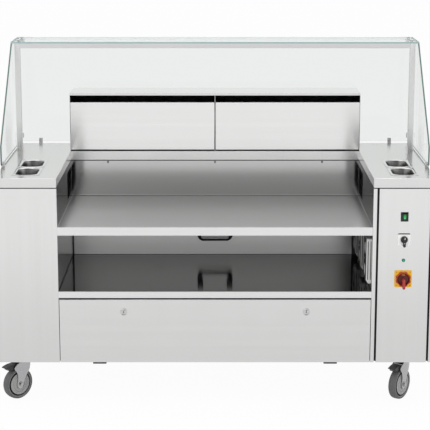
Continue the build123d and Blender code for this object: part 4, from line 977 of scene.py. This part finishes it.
# White on the knob: a line that leans a little, and a dot
white_line = [(-0.0012, 0.0034), (0.0012, 0.0034), (0.0012, 0.0104), (-0.0012, 0.0104)]
white_dot = arc(0.0, -0.0118, 0.0012, 0, 330, 11)
white_line_tilt = fan_place @ Matrix.Rotation(math.radians(10), 4, "Y")
white_marks = bmesh.new()
for outline, place in ((white_line, white_line_tilt), (white_dot, fan_place)):
    prism(white_marks, outline, place, near=-0.0206, far=-0.0200)
close_up(white_marks)
new_piece("fan_knob_white_marks", white_marks, [white_plastic], "fan_knob")

lamp_low, lamp_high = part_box("signal_lamp")
lamp_x, lamp_z = ((lamp_low + lamp_high) / 2).xz
lamp_green = lit_plastic(
    "lamp_green", (0.0, 0.085, 0.055),
    [((lamp_x, front_face, lamp_z), (0.0078, 0.05, 0.0078), (0.002, 0.24, 0.14)),
     ((lamp_x - 0.0005, front_face, lamp_z - 0.001), (0.0030, 0.05, 0.0036), (0.02, 0.40, 0.24))],
    strength=0.35,
)
lamp_outline = [
    (0.0, -0.0058), (0.0030, -0.0055), (0.0050, -0.0044), (0.0060, -0.0026), (0.0066, -0.0018),
    (0.0068, -0.0010), (0.0068, 0.0), (0.0045, 0.0), (0.0045, 0.0220), (0.0, 0.0220),
]
lens = bmesh.new()
turn(lens, lamp_outline, Matrix.Translation((lamp_x, front_face, lamp_z)), steps=40)
close_up(lens)
new_piece("signal_lamp_lens", lens, [lamp_green], "root", ["signal_lamp"], smooth_below=40)

main_middle = pivots["main_handle_turn"]
main_place = Matrix.Translation((main_middle.x, front_face, main_middle.z))
plate_face = front_face - 0.0030
plate_corners = [(x, z) for x in (-0.0265, 0.0265) for z in (-0.0265, 0.0265)]
softened("main_switch_plate", "main_switch", [yellow_plastic, black_plastic], edge=0.0004,
         pick=lambda centre, normal: centre.y > front_face)
plate_screws = [(main_middle.x + x, plate_face, main_middle.z + z) for x, z in plate_corners]
fixings("main_plate_screws", plate_screws, (0, -1, 0), tan_plastic, "root",
        radius=0.0026, height=0.0008, socket_radius=0.0013)
# Radius and depth of the collar's outline, and how far its eight lobes show there
collar_outline = [
    (0.0280, -0.0033, 1.0), (0.0282, -0.0120, 1.0), (0.0275, -0.0150, 0.9), (0.0260, -0.0162, 0.6),
    (0.0242, -0.0157, 0.2), (0.0228, -0.0140, 0.0), (0.0216, -0.0095, 0.0), (0.0200, -0.0078, 0.0),
    (0.0004, -0.0075, 0.0), (0.0004, -0.0033, 0.0),
]
bowl_radius = 0.0226
collar = bmesh.new()
turn(collar, collar_outline, main_place, steps=96, lobes=8, rise=0.0021)
close_up(collar)
# Inside the bowl's radius the collar takes the painted shade
second_finish(collar, lambda spot: (spot - main_middle).xz.length < bowl_radius)
new_piece("main_handle_collar", collar, [red_plastic, bowl_red], "main_handle",
          ["main_switch_handle"], smooth_below=40)
grip_side = arc(0.0, 0.0, 0.0052, 0, 180) + arc(0.0, -0.0286, 0.0056, 180, 360)
grip = bmesh.new()
prism(grip, grip_side, main_place, near=-0.0382, far=-0.0070)
ease_edges(grip, width=0.0018, segments=3)
close_up(grip)
new_piece("main_handle_grip", grip, [red_plastic], "main_handle", ["main_switch_handle"],
          smooth_below=35)
# A small tan block at the top of the bowl
tan_block_side = [(-0.0060, 0.0152), (0.0060, 0.0152), (0.0060, 0.0194), (-0.0060, 0.0194)]
tan_block = bmesh.new()
prism(tan_block, tan_block_side, main_place, near=-0.0094, far=-0.0070)
ease_edges(tan_block, width=0.0006)
new_piece("main_handle_tan_block", tan_block, [tan_plastic], "main_handle")

# Hood
# A sheet housing on the bridge, its inside painted with shadow; two pull-out covers, a lighter copy of the
# steel, leave an intake slot above them, and a baffle filter of folded aluminium, coloured dark as painted
# shade, lies level behind each cover.
hood_steel = brushed_steel("steel_hood_housing", x_axis, wiping=0.0, buckle=0.0)
cover_steel = brushed_steel("steel_hood_cover", x_axis, roughness=0.19, wiping=0.02, painted_light_level=1.08)
filter_painted_shade = skinned("filter_painted_shade", (0.030, 0.030, 0.030), 0.55, 80, shade=0.3, metallic=0.6)
hood_low, hood_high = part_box("hood_housing")
hood_sheet = 0.0012
cover_foot_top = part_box("worktop")[1].z + 0.0078
cover_fold = 0.0025
cover_drop = 0.0018


def inside_hood(centre, normal):
    """The faces that the housing turns inwards, which are painted with shadow."""
    deep = hood_low.y + hood_sheet < centre.y < hood_high.y - hood_sheet
    under = centre.z < hood_high.z - hood_sheet
    return deep and under and hood_low.x + hood_sheet < centre.x < hood_high.x - hood_sheet


def cover_hidden(centre, normal):
    """A cover's feet and its inside, which are painted with shadow."""
    inside = centre.y > hood_low.y + hood_sheet and abs(normal.z) < mostly
    return inside or centre.z < cover_foot_top


sheet("hood_housing", [hood_steel, seam_shadow], pick=inside_hood)
for node in ("left_hood_cover", "right_hood_cover"):
    cover = sheet(node, [cover_steel, seam_shadow], pick=cover_hidden)
    for point in cover.data.vertices:
        if abs(point.co.z - cover_foot_top) < cover_fold:
            point.co.z -= cover_drop
coat(["left_grease_filter", "right_grease_filter"], filter_painted_shade)

# Fan, carbon filter and electrical box
# Out of sight in the base and the right column: a galvanised scroll with its motor and bladed
# wheel, a framed carbon cassette, and a sealed plastic box for the wiring.
motor_paint = skinned("motor_paint", (0.05, 0.055, 0.06), 0.45, 120, shade=0.2)
carbon_grains = skinned("carbon_grains", (0.03, 0.03, 0.03), 0.85, 400, shade=0.5, bump=0.0006)
box_plastic = skinned("box_plastic", (0.56, 0.57, 0.57), 0.5, 140)
coat(["fan_scroll", "fan_impeller"], zinc)
coat(["fan_motor"], motor_paint)
coat(["carbon_filter"], carbon_grains)
coat(["electrical_box"], box_plastic)

# Guard
# Square stainless tubes carry panes of clear float glass with ground green edges; small steel
# clamps hold the panes at the foot, and button-headed fixings the top pane.
# Painted shade: the tubes are a slightly darker copy of the steel
post_steel = brushed_steel("steel_guard_posts", z_axis, painted_light_level=0.92)
rail_steel = brushed_steel("steel_guard_rail", x_axis, painted_light_level=0.92)
# Painted shade and light: the ground green edges are copies of one colour, darker on the side panes,
# lighter on the rear and top panes, and near white on the edges that face the back
side_edge = skinned("glass_side_edge", (0.085, 0.145, 0.130), 0.22, 40, shade=0.3)
top_edge = skinned("glass_top_edge", (0.34, 0.47, 0.47), 0.22, 40, shade=0.3)
far_edge = skinned("glass_far_edge", (0.86, 0.89, 0.885), 0.22, 40, shade=0.1)
coat(["guard_posts"], post_steel)
coat(["guard_rail"], rail_steel)
coat(["glass_fittings"], satin_steel)


def largest(tree, *values):
    """The largest of some values: 1 where a ray is of any of the given types."""
    result = values[0]
    for value in values[1:]:
        result = reckon(tree, "MAXIMUM", result, value)
    return result


# A pane mirrors and bends a part of what the viewer sees; to bounced light and shadows it is clear
pane_tint = (0.955, 0.965, 0.96, 1.0)
clear_part = 0.75
pane_glass, pane_tree, pane_shader = start_finish("pane_glass", 0.0)
feed(pane_tree, pane_shader, {
    "Base Color": pane_tint, "Roughness": 0.0, "IOR": 1.5, "Transmission Weight": 1.0
})
pane_rays = place_node(pane_tree, "ShaderNodeLightPath").outputs
bounced = [pane_rays[ray] for ray in ("Is Shadow Ray", "Is Diffuse Ray", "Is Glossy Ray")]
pane_mix = place_node(pane_tree, "ShaderNodeMixShader", {
    0: largest(pane_tree, *bounced, clear_part),
    1: pane_shader.outputs[0],
    2: place_node(pane_tree, "ShaderNodeBsdfTransparent", {"Color": pane_tint}).outputs[0],
})
feed(pane_tree, pane_tree.nodes["Material Output"], {"Surface": pane_mix.outputs[0]})

for node, thin_axis, edge_finish in (
    ("rear_glass", y_axis, top_edge), ("left_glass", x_axis, side_edge),
    ("right_glass", x_axis, side_edge), ("top_glass", z_axis, top_edge),
):
    shape = merged_copy(node)
    for face in shape.faces:
        face.material_index = 0 if abs(face.normal[thin_axis]) > mostly else 1
        if face.normal.y > mostly and thin_axis != y_axis:
            face.material_index = 2
    new_piece(f"{node}_pane", shape, [pane_glass, edge_finish, far_edge], "root", [node])

# Studio
# A pale floor and a white room behind and above; the side where the viewer stands is dim, so
# that the steel inside the bay mirrors a darker room, as ground steel does in a real studio.
floor_reach = 40.0
floor_white = 0.95
floor_mesh = bpy.data.meshes.new("studio_floor")
floor_shape = bmesh.new()
bmesh.ops.create_grid(floor_shape, x_segments=2, y_segments=2, size=floor_reach)
floor_shape.to_mesh(floor_mesh)
floor_shape.free()
floor = shown("studio_floor", floor_mesh)
paper, paper_tree, paper_shader = start_finish("pale_floor", 0.0)
paper_tree.nodes.remove(paper_shader)
paper_place = place_node(paper_tree, "ShaderNodeTexCoord").outputs["Object"]
paper_parts = place_node(paper_tree, "ShaderNodeSeparateXYZ", {0: paper_place}).outputs
paper_rays = place_node(paper_tree, "ShaderNodeLightPath").outputs
paper_seen = largest(paper_tree, paper_rays["Is Camera Ray"], paper_rays["Is Transmission Ray"])
# Painted shadow: as the steel mirrors it, the floor is darker near the station and evenly bright far off
mirrored_painted_shade = ramp(paper_tree, paper_parts["Y"], (-0.4, -4.0), (0.80, 1.0))
paper_matte = place_node(paper_tree, "ShaderNodeBsdfDiffuse", {"Color": (0.86, 0.86, 0.86, 1.0)})
paper_white = place_node(paper_tree, "ShaderNodeEmission", {"Strength": 1.0})
paper_mirrored = place_node(paper_tree, "ShaderNodeEmission", {"Strength": mirrored_painted_shade})
paper_plain = place_node(paper_tree, "ShaderNodeMixShader", {
    0: reckon(paper_tree, "MULTIPLY", paper_seen, floor_white),
    1: paper_matte.outputs[0],
    2: paper_white.outputs[0],
})
paper_mix = place_node(paper_tree, "ShaderNodeMixShader", {
    0: paper_rays["Is Glossy Ray"], 1: paper_plain.outputs[0], 2: paper_mirrored.outputs[0]
})
feed(paper_tree, paper_tree.nodes["Material Output"], {"Surface": paper_mix.outputs[0]})
floor_mesh.materials.append(paper)

world = bpy.data.worlds.new("studio")
bpy.context.scene.world = world
world.use_nodes = True
sky = world.node_tree
sky_rays = place_node(sky, "ShaderNodeLightPath").outputs
sky_way = place_node(sky, "ShaderNodeTexCoord").outputs["Generated"]
sky_parts = place_node(sky, "ShaderNodeSeparateXYZ", {0: sky_way}).outputs
towards_viewer = ramp(sky, sky_parts["Y"], (-0.1, -0.75), (0.0, 1.0))
below_lamps = ramp(sky, sky_parts["Z"], (0.40, 0.85), (1.0, 0.0))
above_horizon = ramp(sky, sky_parts["Z"], (0.06, 0.24), (0.0, 1.0))
dim_band = reckon(sky, "MULTIPLY", below_lamps, above_horizon)
dim_part = reckon(sky, "MULTIPLY", towards_viewer, dim_band)
dim_side = ramp(sky, dim_part, (0.0, 1.0), (1.0, 0.06))
mirrored_room = reckon(sky, "MULTIPLY", dim_side, sky_rays["Is Glossy Ray"])
seen_room = largest(sky, sky_rays["Is Camera Ray"], sky_rays["Is Transmission Ray"])
seen_or_mirrored = largest(sky, seen_room, sky_rays["Is Glossy Ray"])
diffuse_room = place_node(
    sky, "ShaderNodeMapRange", {"Value": seen_or_mirrored, "To Min": 0.80, "To Max": 0.0}
).outputs[0]
feed(sky, sky.nodes["Background"], {
    "Color": (1.0, 1.0, 1.0, 1.0), "Strength": largest(sky, seen_room, mirrored_room, diffuse_room)
})

lamp_aim = Vector((0, 0, 0.6))
for name, place, size, power in (
    ("key_softbox", (-3.0, -3.6, 3.8), 4.0, 60.0),
    ("fill_softbox", (3.4, -3.0, 2.6), 4.0, 25.0),
    ("top_softbox", (0.0, 0.6, 4.2), 4.0, 40.0),
):
    softbox = bpy.data.lights.new(name, "AREA")
    softbox.size = size
    softbox.energy = power
    stand = shown(name, softbox)
    stand.location = place
    stand.rotation_euler = (lamp_aim - Vector(place)).to_track_quat("-Z", "Y").to_euler()

camera_distance = 5.596
camera_height = 1.961
camera_pitch = 12.14
camera_data = bpy.data.cameras.new("camera")
camera_data.sensor_width = 36.0
camera_data.lens = 125.4
camera = shown("camera", camera_data)
camera.location = (0.0, front_face - camera_distance, camera_height)
camera.rotation_euler = (math.radians(90.0 - camera_pitch), 0.0, 0.0)
bpy.context.scene.camera = camera
bpy.context.scene.view_settings.view_transform = "Standard"
